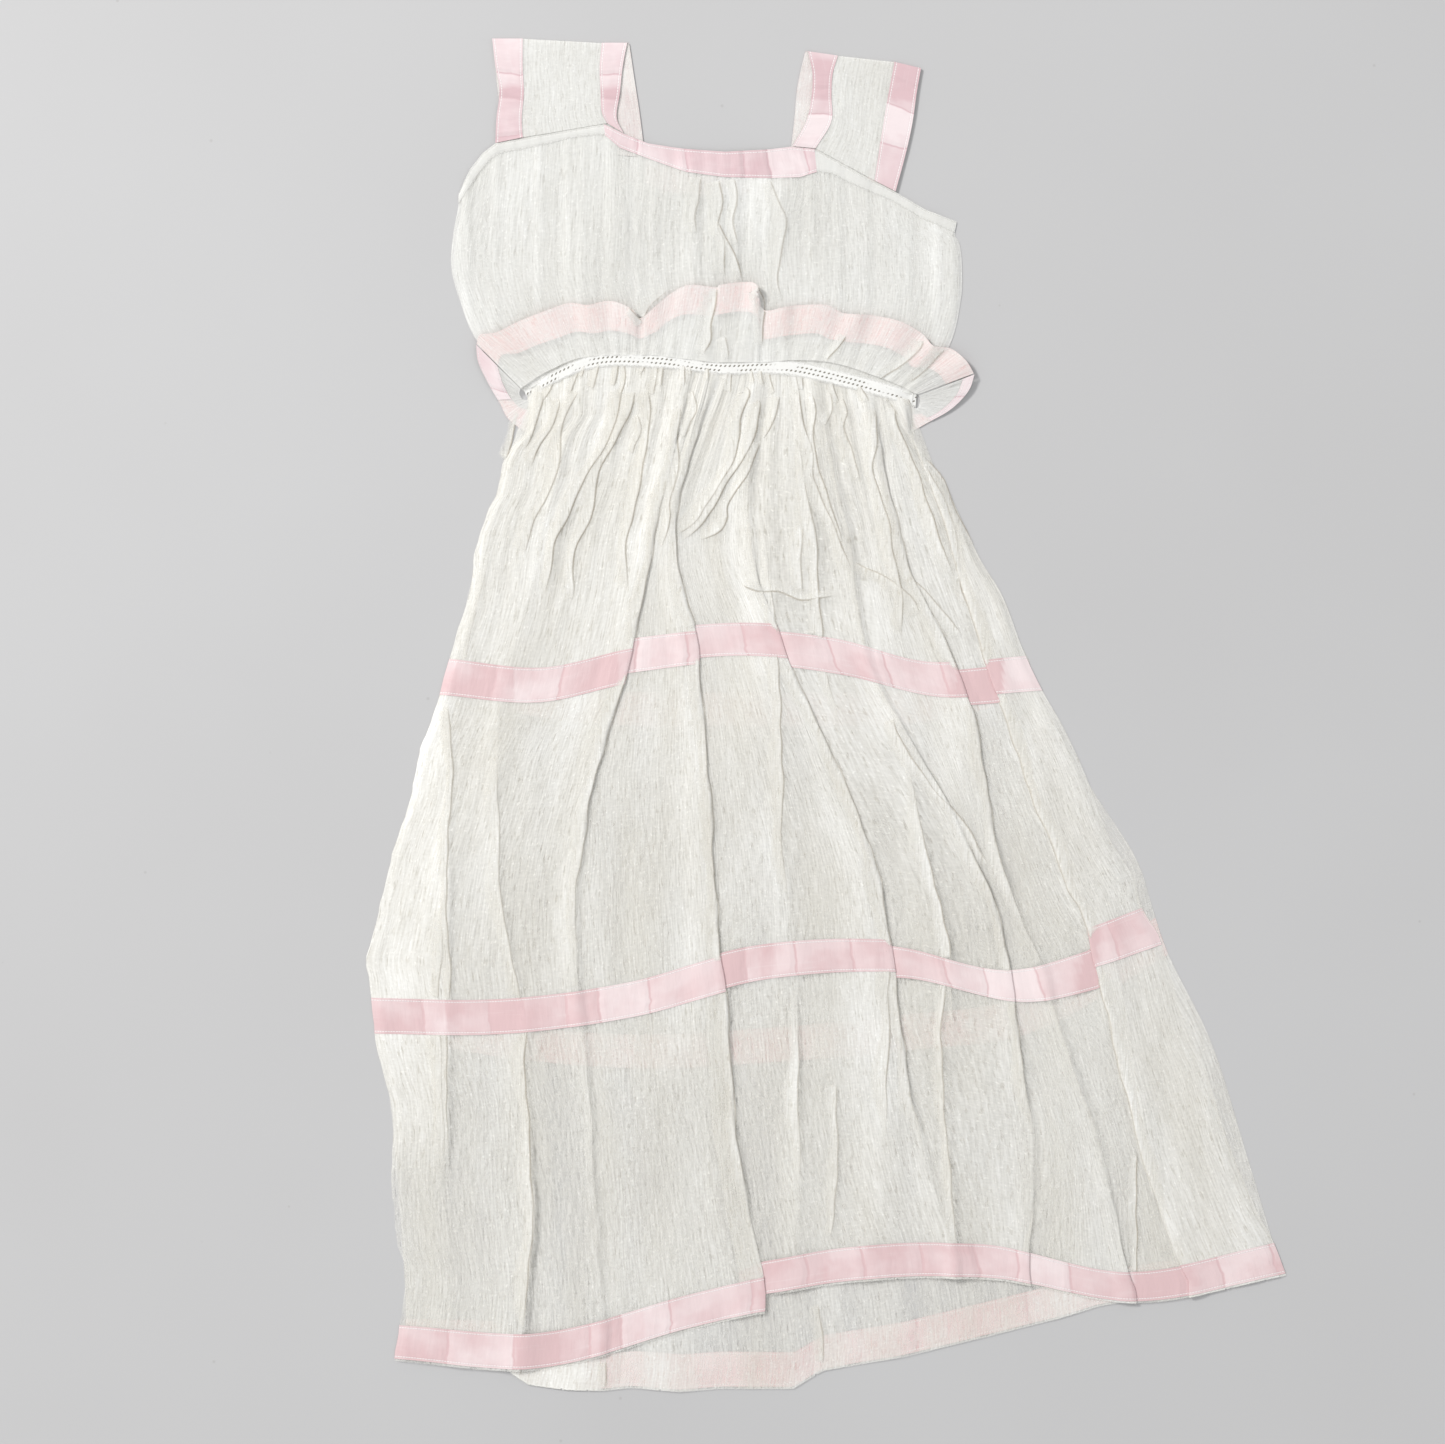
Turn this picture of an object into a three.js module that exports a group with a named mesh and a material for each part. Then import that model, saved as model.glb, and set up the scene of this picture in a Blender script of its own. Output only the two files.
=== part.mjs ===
import * as THREE from "three";

// A sleeveless dress of thin gauze, laid flat on a surface with its front up.
// Millimetres. X runs across the dress, Y from hem to shoulders, Z up from the surface.
// The origin is under the middle of the dress, on the surface.

// Driving dimensions
const GAUZE_WALL = 1.2;
const RIBBON_WALL = 1.0;
const SEAM_GAP = 0.3;
const TUCK_TOP = 6.6; // height of a pleat's upper layer over its lower one
const TUCK_MIDDLE = 5.0; // height of its turned layer, which leaves room for two ribbons under it
const TUCK_CLOSED = 6; // a pleat this deep or deeper lies fully folded
const TUCK_RISE = 20; // run over which the cloth climbs on to a pleat
const CREASE_HEIGHT = 2.4; // ridge left where a pleat has opened out
const CREASE_RUN = 10; // width of that ridge's far slope
const RIDGE_FADE = 15; // run over which a soft ridge dies away beside a folded pleat
const STEP_SHARES = [0.05, 0.1, 0.9, 0.95]; // how much of its shift a pleat's inner corners have taken up
const STEP_REACH = 55; // how far a pleat's shift along the cloth dies away on each side

// Middles of the layers, counted from the surface
const HALF_WALL = GAUZE_WALL / 2;
const LAYER = GAUZE_WALL + SEAM_GAP;
const RIBBON_NEAR = HALF_WALL + SEAM_GAP;
const RIBBON_FAR = RIBBON_NEAR + RIBBON_WALL;
const ON_RIBBON = RIBBON_FAR;
const OVER_BACK = ON_RIBBON + LAYER;
const BACK_OVER_RUFFLE = OVER_BACK;
const WAISTBAND_FRONT_Z = 7.0;
const RUFFLE_FRONT_Z = 8.6;

// Sections of the skirt's front, waist to hem. down: length of cloth above it, left and right: its ends,
// y: its line at seven even stations from left to right, rest: height of the cloth, gather: height of the gathers.
const FRONT_SECTIONS = [
  { name: "waist", down: 0, left: -283, right: 85, y: [303, 329, 330, 324, 323, 310, 293], rest: 5.9, gather: 2.4 },
  { name: "yoke", down: 73, left: -306, right: 109, y: [240, 251, 253, 251, 247, 240, 234], rest: 5.9, gather: 2.6 },
  { name: "hip", down: 160, left: -333, right: 143, y: [147, 158, 166, 164, 158, 151, 145], rest: 4.2, gather: 1.6 },
  { name: "bandOneTop", down: 241, left: -357, right: 197, y: [53, 46, 70, 83, 73, 49, 55], rest: 3.8, gather: 0.4 },
  { name: "bandOneEnd", down: 272, left: -366, right: 207, y: [19, 13, 38, 52, 39, 16, 22], rest: 3.8, gather: 0.4 },
  { name: "thigh", down: 369, left: -392, right: 252, y: [-62, -67, -55, -45, -55, -67, -60], rest: 3.8, gather: 0.8 },
  { name: "knee", down: 455, left: -415, right: 297, y: [-155, -157, -146, -131, -136, -150, -129], rest: 3.8, gather: 0.8 },
  { name: "bandTwoTop", down: 544, left: -431, right: 318, y: [-269, -270, -254, -220, -216, -239, -188], rest: 3.8, gather: 0.3 },
  { name: "bandTwoEnd", down: 576, left: -429, right: 330, y: [-303, -303, -286, -252, -247, -269, -222], rest: 3.8, gather: 0.3 },
  { name: "calf", down: 638, left: -418, right: 368, y: [-359, -357, -342, -314, -309, -328, -300], rest: 3.8, gather: 0.8 },
  { name: "shin", down: 738, left: -408, right: 400, y: [-466, -461, -442, -414, -404, -418, -399], rest: 3.8, gather: 0.8 },
  { name: "hemTop", down: 833, left: -402, right: 429, y: [-580, -586, -548, -509, -503, -529, -502], rest: 3.8, gather: 0.3 },
  { name: "hemEnd", down: 867, left: -408, right: 436, y: [-614, -622, -582, -543, -537, -559, -533], rest: 3.8, gather: 0.3 },
];

// The same for the skirt's back, which lies under the front and hangs lower at the hem
const BACK_SECTIONS = [
  { name: "waist", down: 0, left: -280, right: 82, y: [303, 325, 325, 323, 320, 308, 293], rest: 3.4, gather: 0.9 },
  { name: "yoke", down: 85, left: -303, right: 105, y: [238, 240, 238, 236, 234, 232, 232], rest: 3.4, gather: 0.9 },
  { name: "hip", down: 188, left: -331, right: 140, y: [145, 137, 133, 133, 133, 137, 143], rest: 0.6, gather: 0.6 },
  { name: "bandOneTop", down: 300, left: -353, right: 193, y: [52, 29, 21, 21, 21, 27, 53], rest: 1.9, gather: 0 },
  { name: "bandOneEnd", down: 332, left: -362, right: 203, y: [19, -3, -11, -11, -11, -5, 20], rest: 1.9, gather: 0 },
  { name: "thigh", down: 416, left: -389, right: 248, y: [-64, -87, -95, -95, -93, -85, -62], rest: 0.6, gather: 0.4 },
  { name: "knee", down: 505, left: -411, right: 294, y: [-157, -178, -186, -184, -180, -169, -134], rest: 0.6, gather: 0.4 },
  { name: "bandTwoTop", down: 620, left: -428, right: 314, y: [-271, -294, -304, -298, -286, -267, -193], rest: 1.9, gather: 0 },
  { name: "bandTwoEnd", down: 652, left: -426, right: 326, y: [-304, -326, -336, -330, -319, -300, -228], rest: 1.9, gather: 0 },
  { name: "calf", down: 702, left: -414, right: 364, y: [-361, -381, -389, -381, -366, -340, -304], rest: 0.6, gather: 0.4 },
  { name: "shin", down: 802, left: -404, right: 396, y: [-468, -486, -492, -480, -456, -423, -403], rest: 0.6, gather: 0.4 },
  { name: "hemTop", down: 912, left: -398, right: 426, y: [-585, -604, -607, -591, -556, -524, -506], rest: 1.9, gather: 0 },
  { name: "hemEnd", down: 946, left: -405, right: 432, y: [-615, -638, -643, -625, -589, -556, -536], rest: 1.9, gather: 0 },
];

const BACK_COLUMNS = 38; // two to a gather

// Pleats of the skirt's front from left to right. over: the side that lies on top. At each station down the cloth:
// edge: the folded edge, depth: how far the cloth is tucked back (0 where it has opened out), step: how much higher
// the cloth on the left lies than the cloth on the right.
const PLEAT_STATIONS = [0, 160, 257, 455, 560, 738, 850]; // waist, hip, first band, knee, second band, shin, hem
const FRONT_PLEATS = [
  { name: "hip", over: "left", edge: [-130, -162, -188, -237, -233, -219, -212], depth: [0, 8, 14, 0, 0, 0, 0], step: [0, -4, -10, -3, 0, 0, 0] },
  { name: "long", over: "left", edge: [-107, -142, -121, -106, -97, -79, -56], depth: [0, 8, 12, 16, 20, 22, 24], step: [0, -3, -6, -4, -3, -10, -16] },
  { name: "slant", over: "left", edge: [-62, -73, -40, 46, 63, 89, 124], depth: [0, 0, 9, 8, 8, 0, 0], step: [0, 0, 8, 6, 6, 0, 0] },
  { name: "right", over: "left", edge: [-10, 22, 43, 151, 177, 195, 195], depth: [0, 0, 0, 7, 8, 0, 8], step: [0, 0, 0, 0, 0, 0, 0] },
  { name: "valley", over: "left", edge: [41, 76, 131, 169, 209, 261, 294], depth: [0, 8, 12, 0, 0, 0, 8], step: [0, 4, 8, 0, 0, 0, 0] },
  { name: "side", over: "right", edge: [69, 124, 157, 219, 254, 299, 344], depth: [0, 8, 10, 10, 22, 10, 8], step: [0, 0, -8, -12, -22, -8, 0] },
];
// Columns of cloth in each strip between two pleats, two to a gather at the waist
const STRIP_COLUMNS = [20, 4, 8, 8, 8, 4, 4];

// Soft ridges of the skirt's front. x: its line at the pleat stations, height: at the same stations, reach: half width
const FRONT_RIDGES = [
  { name: "outerLeft", x: [-262, -318, -345, -360, -366, -360, -356], height: [0, 1, 1, 2, 2, 1, 0.5], reach: 26 },
  { name: "innerLeft", x: [-230, -270, -304, -309, -286, -276, -290], height: [0, 2, 2, 2, 2, 3, 3], reach: 18 },
  { name: "belly", x: [-85, -60, -45, -40, -28, -25, -27], height: [0, 2, 3, 2, 2, 2, 2], reach: 22 },
  { name: "middle", x: [-35, -10, 0, 40, 60, 55, 40], height: [0, 3, 1, 3, 3, 2, 2], reach: 22 },
  { name: "rightHip", x: [30, 70, 62, 100, 120, 118, 128], height: [0, 2, 1, 3, 2, 3, 3], reach: 18 },
];

// Top of the bodice's front from left to right. top: its edge, seam: lower edge of the binding or ribbon on it,
// parts: columns of cloth up to the next row, gather: height of the gathers below it.
const BODICE_FRONT_TOP = [
  { name: "underarmLeft", top: [-348, 494], seam: [-348, 484], parts: 1, gather: 0 },
  { name: "armholeLeftLow", top: [-337, 518], seam: [-329, 513], parts: 1, gather: 0 },
  { name: "armholeLeftHigh", top: [-325, 533], seam: [-318, 526], parts: 1, gather: 0 },
  { name: "strapLeftOuter", top: [-313, 542], seam: [-309, 532], parts: 3, gather: 0.2 },
  { name: "strapLeftThird", top: [-275, 549.4], seam: [-273, 539], parts: 3, gather: 0.4 },
  { name: "strapLeftTwoThirds", top: [-235, 556.1], seam: [-234, 548], parts: 2, gather: 0.4 },
  { name: "strapLeftInner", top: [-210, 560.3], seam: [-209, 550], parts: 1, gather: 0.4 },
  { name: "neckCornerLeft", top: [-191, 551], seam: [-195, 538], parts: 2, gather: 0.6 },
  { name: "neckLeft", top: [-168, 542], seam: [-166, 527], parts: 4, gather: 1.2 },
  { name: "neckCurve", top: [-134, 537], seam: [-132, 515], parts: 4, gather: 1.4 },
  { name: "neckMiddle", top: [-95, 534], seam: [-95, 510], parts: 4, gather: 1.4 },
  { name: "neckRight", top: [-57, 536], seam: [-54, 509], parts: 2, gather: 1.2 },
  { name: "neckCornerRight", top: [-33, 539], seam: [-24, 510], parts: 1, gather: 0.8 },
  { name: "strapRightInner", top: [-10, 537], seam: [-8, 515], parts: 1, gather: 0.4 },
  { name: "strapRightThird", top: [8, 527.2], seam: [6, 513], parts: 2, gather: 0.4 },
  { name: "strapRightTwoThirds", top: [33, 513], seam: [30, 501], parts: 2, gather: 0.4 },
  { name: "strapRightOuter", top: [67, 496], seam: [64, 487], parts: 2, gather: 0.2 },
  { name: "armholeRight", top: [96, 479], seam: [92, 470], parts: 2, gather: 0 },
  { name: "underarmRight", top: [125, 468], seam: [123, 457], parts: 0, gather: 0 },
];
const BODICE_BACK_TOP = [
  { name: "underarmLeft", top: [-345, 492], seam: [-345, 482], parts: 1, gather: 0 },
  { name: "armholeLeft", top: [-332, 518], seam: [-325, 511], parts: 1, gather: 0 },
  { name: "strapLeftOuter", top: [-310, 536], seam: [-306, 526], parts: 3, gather: 0 },
  { name: "strapLeftMiddle", top: [-240, 533], seam: [-240, 521], parts: 3, gather: 0 },
  { name: "strapLeftInner", top: [-171, 529], seam: [-171, 505], parts: 1, gather: 0 },
  { name: "neckLeft", top: [-152, 521], seam: [-152, 497], parts: 2, gather: 0 },
  { name: "neckMiddle", top: [-100, 515], seam: [-100, 491], parts: 2, gather: 0 },
  { name: "neckRight", top: [-48, 521], seam: [-48, 497], parts: 1, gather: 0 },
  { name: "strapRightInner", top: [-33, 531], seam: [-33, 503], parts: 3, gather: 0 },
  { name: "strapRightOuter", top: [65, 494], seam: [61, 485], parts: 1, gather: 0 },
  { name: "armholeRight", top: [96, 477], seam: [91, 468], parts: 1, gather: 0 },
  { name: "underarmRight", top: [123, 466], seam: [121, 455], parts: 0, gather: 0 },
];

// Sections of the bodice below its top edge, in the form of the skirt's sections; fade: share of the gathers left there
const BODICE_FRONT_SECTIONS = [
  { name: "chest", left: -353, right: 128, y: [456, 458, 460, 458, 455, 451, 446], rest: 3.6, fade: 1 },
  { name: "bust", left: -355, right: 130, y: [426, 426, 426, 426, 426, 426, 426], rest: 3.6, fade: 0.8 },
  { name: "under", left: -347, right: 129, y: [394, 394, 394, 394, 394, 394, 394], rest: 3.4, fade: 0.4 },
  { name: "low", left: -330, right: 118, y: [354, 363, 367, 365, 363, 360, 350], rest: 3.8, fade: 0.4 },
  { name: "waist", left: -286, right: 86, y: [310.4, 340.4, 342.4, 334.4, 336.4, 323.4, 306.4], rest: 6.0, fade: 0.6 },
];
const BODICE_BACK_SECTIONS = [
  { name: "chest", left: -350, right: 125, y: [452, 452, 452, 452, 452, 448, 443], rest: 0.6, fade: 0 },
  { name: "bust", left: -352, right: 127, y: [423, 423, 423, 423, 423, 423, 423], rest: 0.6, fade: 0 },
  { name: "under", left: -344, right: 126, y: [392, 392, 392, 392, 392, 392, 392], rest: 0.6, fade: 0 },
  { name: "low", left: -327, right: 115, y: [357, 360, 362, 362, 360, 357, 353], rest: 0.6, fade: 0 },
  { name: "waist", left: -284, right: 84, y: [312.4, 336.4, 338.4, 334.4, 332.4, 320.4, 307.4], rest: 3.4, fade: 0 },
];

// Upper and lower edges of the waistband's two halves
const WAISTBAND_FRONT = [
  { left: -286, right: 86, y: [310, 340, 342, 334, 336, 323, 306] },
  { left: -283, right: 85, y: [303.4, 329.4, 330.4, 324.4, 323.4, 310.4, 293.4] },
];
const WAISTBAND_BACK = [
  { left: -284, right: 84, y: [312, 336, 338, 334, 332, 320, 307] },
  { left: -280, right: 82, y: [303.4, 325.4, 325.4, 323.4, 320.4, 308.4, 293.4] },
];
const WAISTBAND_COLUMNS = 30;

// Ruffle, flipped up over the bodice in front. seam: where it is sewn to the waistband, edge: its free edge,
// lift: height of the wave at the free edge.
const RUFFLE_FRONT = [
  { seam: [-288.6, 309.4], edge: [-330.5, 351.5], lift: 0 },
  { seam: [-279, 316], edge: [-327, 360], lift: 1 },
  { seam: [-270, 322], edge: [-312, 362], lift: 2.4 },
  { seam: [-258, 328], edge: [-290, 373], lift: 0.4 },
  { seam: [-243, 335], edge: [-264, 383], lift: 2 },
  { seam: [-228, 339], edge: [-243, 390], lift: 0.2 },
  { seam: [-214, 340], edge: [-225, 388], lift: 2 },
  { seam: [-203, 341], edge: [-208, 392], lift: 0.4 },
  { seam: [-193, 341], edge: [-195, 390], lift: 2.2 },
  { seam: [-184, 341], edge: [-182, 383], lift: 3 },
  { seam: [-176, 341], edge: [-175, 376], lift: 0 },
  { seam: [-167, 341], edge: [-162, 386], lift: 1.4 },
  { seam: [-155, 340], edge: [-145, 400], lift: 0.4 },
  { seam: [-140, 338], edge: [-128, 407], lift: 2.4 },
  { seam: [-122, 336], edge: [-103, 405], lift: 0.4 },
  { seam: [-105, 334], edge: [-100, 407], lift: 2.6 },
  { seam: [-88, 334], edge: [-77, 410], lift: 0.6 },
  { seam: [-68, 334], edge: [-64, 406], lift: 3.4 },
  { seam: [-60, 334], edge: [-59, 384], lift: 0.2 },
  { seam: [-46, 335], edge: [-39, 386], lift: 2.4 },
  { seam: [-32, 336], edge: [-26, 388], lift: 0.2 },
  { seam: [-16, 336], edge: [1, 388], lift: 2 },
  { seam: [-1, 335], edge: [16, 381], lift: 0.3 },
  { seam: [14, 332], edge: [32, 379], lift: 3 },
  { seam: [28, 328], edge: [48, 378], lift: 0.3 },
  { seam: [42, 323], edge: [72, 372], lift: 2.6 },
  { seam: [56, 318], edge: [92, 361], lift: 0.3 },
  { seam: [66, 314], edge: [103, 349], lift: 3 },
  { seam: [75, 310], edge: [119, 347], lift: 0.4 },
  { seam: [82, 306], edge: [133, 336], lift: 2 },
  { seam: [88.6, 303.6], edge: [141, 323.5], lift: 0 },
];
const RUFFLE_RIBBON = 28; // width of the ribbon on the ruffle's edge
const RUFFLE_RIBBON_MOST = 0.55; // and the most of the ruffle's width that it takes where the ruffle is turned under
const RUFFLE_PLEAT = 1.2; // height of the small gathers at the ruffle's seam

// Ruffle behind the skirt, from the left end round the back to the right end; height: middle of the cloth at each edge
const RUFFLE_BACK = [
  { seam: [-289, 309], seamZ: 8.6, edge: [-331, 350.8], edgeZ: 8.6 },
  { seam: [-290, 306], seamZ: 6.2, edge: [-329, 334], edgeZ: 6.4 },
  { seam: [-289.6, 303], seamZ: 3.8, edge: [-319, 313], edgeZ: 4.2 },
  { seam: [-286, 299], seamZ: 1.9, edge: [-309, 296], edgeZ: 1.9 },
  { seam: [-276, 300], seamZ: 1.9, edge: [-298, 278], edgeZ: 1.9 },
  { seam: [-250, 310], seamZ: 1.9, edge: [-268, 262], edgeZ: 1.9 },
  { seam: [-215, 320], seamZ: 1.9, edge: [-226, 266], edgeZ: 1.9 },
  { seam: [-175, 325], seamZ: 1.9, edge: [-182, 258], edgeZ: 1.9 },
  { seam: [-135, 326], seamZ: 1.9, edge: [-138, 264], edgeZ: 1.9 },
  { seam: [-95, 324], seamZ: 1.9, edge: [-95, 256], edgeZ: 1.9 },
  { seam: [-55, 322], seamZ: 1.9, edge: [-51, 262], edgeZ: 1.9 },
  { seam: [-15, 318], seamZ: 1.9, edge: [-8, 258], edgeZ: 1.9 },
  { seam: [25, 311], seamZ: 1.9, edge: [35, 264], edgeZ: 1.9 },
  { seam: [58, 302], seamZ: 1.9, edge: [73, 266], edgeZ: 1.9 },
  { seam: [84.5, 291], seamZ: 1.9, edge: [101, 279], edgeZ: 1.9 },
  { seam: [89.4, 295], seamZ: 3.8, edge: [121, 291], edgeZ: 3.8 },
  { seam: [90, 299], seamZ: 6.2, edge: [136, 307], edgeZ: 6.2 },
  { seam: [89, 302.8], seamZ: 8.6, edge: [141.6, 322.6], edgeZ: 8.6 },
];

// Shoulder straps, from the bodice's front over the shoulder to its back. x and y: the two edges and the inner edges
// of the two ribbons between them, in order of x.
const STRAP_LEFT_FRONT = [
  { x: [-313, -287, -207, -191.4], y: [542.6, 547.9, 561.4, 552] },
  { x: [-312, -288, -212, -198], y: [566, 566, 572, 567] },
  { x: [-309, -286, -213, -195], y: [592, 590, 590, 589] },
  { x: [-313, -287, -214, -192], y: [616, 614, 614, 616] },
  { x: [-316, -287, -212, -188], y: [641, 641, 637, 637] },
];
const STRAP_LEFT_BACK = [
  { x: [-316, -287, -212, -186], y: [641, 641, 637, 637] },
  { x: [-312, -286, -207, -181], y: [603, 603, 603, 603] },
  { x: [-309, -283, -202, -176], y: [570, 570, 570, 570] },
  { x: [-310, -284, -197, -171], y: [536.5, 535.7, 531.3, 529.5] },
];
const STRAP_RIGHT_FRONT = [
  { x: [-31, -9, 47, 67], y: [539.5, 537.5, 507, 496.6] },
  { x: [-18, 6, 52, 77], y: [563, 563, 540, 534] },
  { x: [-13, 6, 57, 83], y: [586, 586, 571, 562] },
  { x: [-12, 7, 62, 87], y: [608, 607, 599, 590] },
  { x: [-16, 12, 66, 91], y: [629, 625, 619, 613] },
];
const STRAP_RIGHT_BACK = [
  { x: [-19, 9, 64, 89], y: [629, 625, 619, 613] },
  { x: [-26, 0, 60, 86], y: [598, 596, 588, 584] },
  { x: [-29, -3, 53, 79], y: [567, 562, 551, 546] },
  { x: [-33, -7, 39, 65], y: [531.5, 521.8, 504.4, 494.5] },
];
const SHOULDER_RADIUS = LAYER / 2; // radius of the strap's turn over the shoulder
const SHOULDER_STEPS = 4;

const SURFACES = {
  gauze: { color: 0xe8e5dc, roughness: 0.92, metalness: 0 },
  ribbon: { color: 0xf0d6d6, roughness: 0.5, metalness: 0 },
  binding: { color: 0xf3f1ec, roughness: 0.9, metalness: 0 },
  openwork: { color: 0xefede8, roughness: 0.9, metalness: 0 },
};

const mix = (a, b, t) => a + (b - a) * t;
const clamp = (value) => Math.min(1, Math.max(0, value));
const ease = (value) => clamp(value) ** 2 * (3 - 2 * clamp(value));

// Value of a smooth curve that passes through values at the rising positions knots
function curve(knots, values, at) {
  const last = knots.length - 1;
  let k = 0;
  while (k < last - 1 && at > knots[k + 1]) k += 1;
  const run = knots[k + 1] - knots[k];
  const t = (at - knots[k]) / run;
  const rise = (i) => {
    const a = Math.max(0, i - 1);
    const b = Math.min(last, i + 1);
    return ((values[b] - values[a]) / (knots[b] - knots[a])) * run;
  };
  const t2 = t * t;
  const t3 = t2 * t;
  return (2 * t3 - 3 * t2 + 1) * values[k] + (t3 - 2 * t2 + t) * rise(k)
    + (3 * t2 - 2 * t3) * values[k + 1] + (t3 - t2) * rise(k + 1);
}

const EVEN = [0, 1, 2, 3, 4, 5, 6].map((i) => i / 6);

// Height on the page of a section's line at a position across
function lineAt(section, x) {
  return curve(EVEN, section.y, clamp((x - section.left) / (section.right - section.left)));
}

function atStations(list, down) {
  return curve(PLEAT_STATIONS, list, Math.min(down, PLEAT_STATIONS[PLEAT_STATIONS.length - 1]));
}

// Uneven share for gather number i, so that no two neighbours are alike
function uneven(i) {
  return 0.75 + 0.25 * Math.sin(2.4 * i + 1.7 * Math.sin(0.9 * i));
}

// A pleat's six corners on its own section, as distances from its edge and heights over the cloth around it
function pleatCorners(depth) {
  const folded = clamp(depth / TUCK_CLOSED);
  const run = Math.max(depth, TUCK_CLOSED);
  const turn = (TUCK_TOP - TUCK_MIDDLE) / 2;
  const back = TUCK_MIDDLE / 2;
  const closed = [
    [-turn, TUCK_TOP],
    [0, TUCK_TOP - turn],
    [-turn, TUCK_MIDDLE],
    [-run + back, TUCK_MIDDLE],
    [-run, back],
    [-run + back, 0],
  ];
  const openShares = [[-0.08, 1], [0.15, 0.92], [0.4, 0.7], [0.6, 0.42], [0.8, 0.16], [1, 0]];
  return closed.map(([x, z], i) => {
    const [shareX, shareZ] = openShares[i];
    return [mix(shareX * CREASE_RUN, x, folded), mix(shareZ * CREASE_HEIGHT, z, folded)];
  });
}

// One line of points across the skirt's front: strips of cloth with the pleats' corners between them
function frontLine(section) {
  const pleats = FRONT_PLEATS.map((pleat) => {
    const side = pleat.over === "left" ? 1 : -1;
    const depth = Math.max(0, atStations(pleat.depth, section.down));
    const corners = pleatCorners(depth);
    if (side < 0) corners.reverse();
    const edge = atStations(pleat.edge, section.down);
    return {
      side,
      edge,
      folded: clamp(depth / TUCK_CLOSED),
      reach: edge - side * depth,
      level: side > 0 ? corners[0][1] : corners[5][1],
      step: atStations(pleat.step, section.down),
      corners: corners.map(([x, z]) => [edge + side * x, z]),
    };
  });
  const shift = (x, strip) => pleats.reduce((sum, pleat, k) => {
    const sign = k >= strip ? 1 : -1;
    return sum + sign * (pleat.step / 2) * Math.exp(-Math.abs(x - pleat.edge) / STEP_REACH);
  }, 0);
  const calm = (x) => pleats.reduce((share, pleat) => {
    const half = Math.abs(pleat.edge - pleat.reach) / 2;
    const away = Math.abs(x - (pleat.edge + pleat.reach) / 2) - half;
    return share * mix(1, ease(away / RIDGE_FADE), pleat.folded);
  }, 1);
  const swell = (x) => calm(x) * FRONT_RIDGES.reduce((sum, ridge) => {
    const away = (x - atStations(ridge.x, section.down)) / ridge.reach;
    return sum + Math.max(0, atStations(ridge.height, section.down)) * Math.exp(-away * away);
  }, 0);
  const climb = (x, strip) => {
    const next = pleats[strip];
    const before = pleats[strip - 1];
    let lift = 0;
    if (next && next.side > 0) lift += next.level * ease(1 - (next.reach - x) / TUCK_RISE);
    if (before && before.side < 0) lift += before.level * ease(1 - (x - before.reach) / TUCK_RISE);
    return lift;
  };
  const points = [];
  const place = (x, z, stepShift) => points.push(
    new THREE.Vector3(x, lineAt(section, x) + stepShift, section.rest + swell(x) + z),
  );
  let number = 0;
  STRIP_COLUMNS.forEach((count, strip) => {
    const before = pleats[strip - 1];
    const next = pleats[strip];
    const from = before ? before.corners[5][0] : section.left;
    const to = next ? next.corners[0][0] : section.right;
    const parts = (to - from) / count;
    const over = (pleat, even) => mix(even, pleat.reach - pleat.side, pleat.folded);
    const first = before && before.side < 0 ? over(before, from + parts) : from + parts;
    const final = next && next.side > 0 ? over(next, to - parts) : to - parts;
    for (let i = 0; i <= count; i += 1) {
      let x = mix(first, final, (i - 1) / (count - 2));
      if (i === 0) x = from;
      if (i === count) x = to;
      const inner = i > 0 && i < count;
      const gather = inner && i % 2 === 1 ? section.gather * uneven(number) : 0;
      number += inner ? 1 : 0;
      place(x, climb(x, strip) + gather, shift(x, strip));
    }
    if (!next) return;
    next.corners.slice(1, 5).forEach(([x, z], i) => {
      place(x, z, mix(shift(x, strip), shift(x, strip + 1), STEP_SHARES[i]));
    });
  });
  return points;
}

// One line of points across a plain panel
function plainLine(section, columns) {
  const points = [];
  for (let i = 0; i <= columns; i += 1) {
    const x = mix(section.left, section.right, i / columns);
    const gather = i % 2 === 1 ? section.gather * uneven(i) : 0;
    points.push(new THREE.Vector3(x, lineAt(section, x), section.rest + gather));
  }
  return points;
}

// A section between two others, a share of the way down from the first
function between(sections, index, share) {
  const knots = sections.map((section) => section.down);
  const down = mix(knots[index], knots[index + 1], share);
  const read = (pick) => curve(knots, sections.map(pick), down);
  return {
    down,
    left: read((section) => section.left),
    right: read((section) => section.right),
    y: EVEN.map((_, k) => read((section) => section.y[k])),
    rest: mix(sections[index].rest, sections[index + 1].rest, share),
    gather: mix(sections[index].gather, sections[index + 1].gather, share),
  };
}

// Directions out of the cloth at each point of a grid of lines
function normalsOf(grid) {
  return grid.map((line, j) => line.map((_, i) => {
    const left = line[Math.max(0, i - 1)];
    const right = line[Math.min(line.length - 1, i + 1)];
    const upper = grid[Math.max(0, j - 1)][i];
    const lower = grid[Math.min(grid.length - 1, j + 1)][i];
    const across = new THREE.Vector3().subVectors(right, left);
    const up = new THREE.Vector3().subVectors(upper, lower);
    return across.cross(up).normalize();
  }));
}

// The same for cloth that lies flat: straight up everywhere
function uprights(grid) {
  return grid.map((line) => line.map(() => new THREE.Vector3(0, 0, 1)));
}

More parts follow.
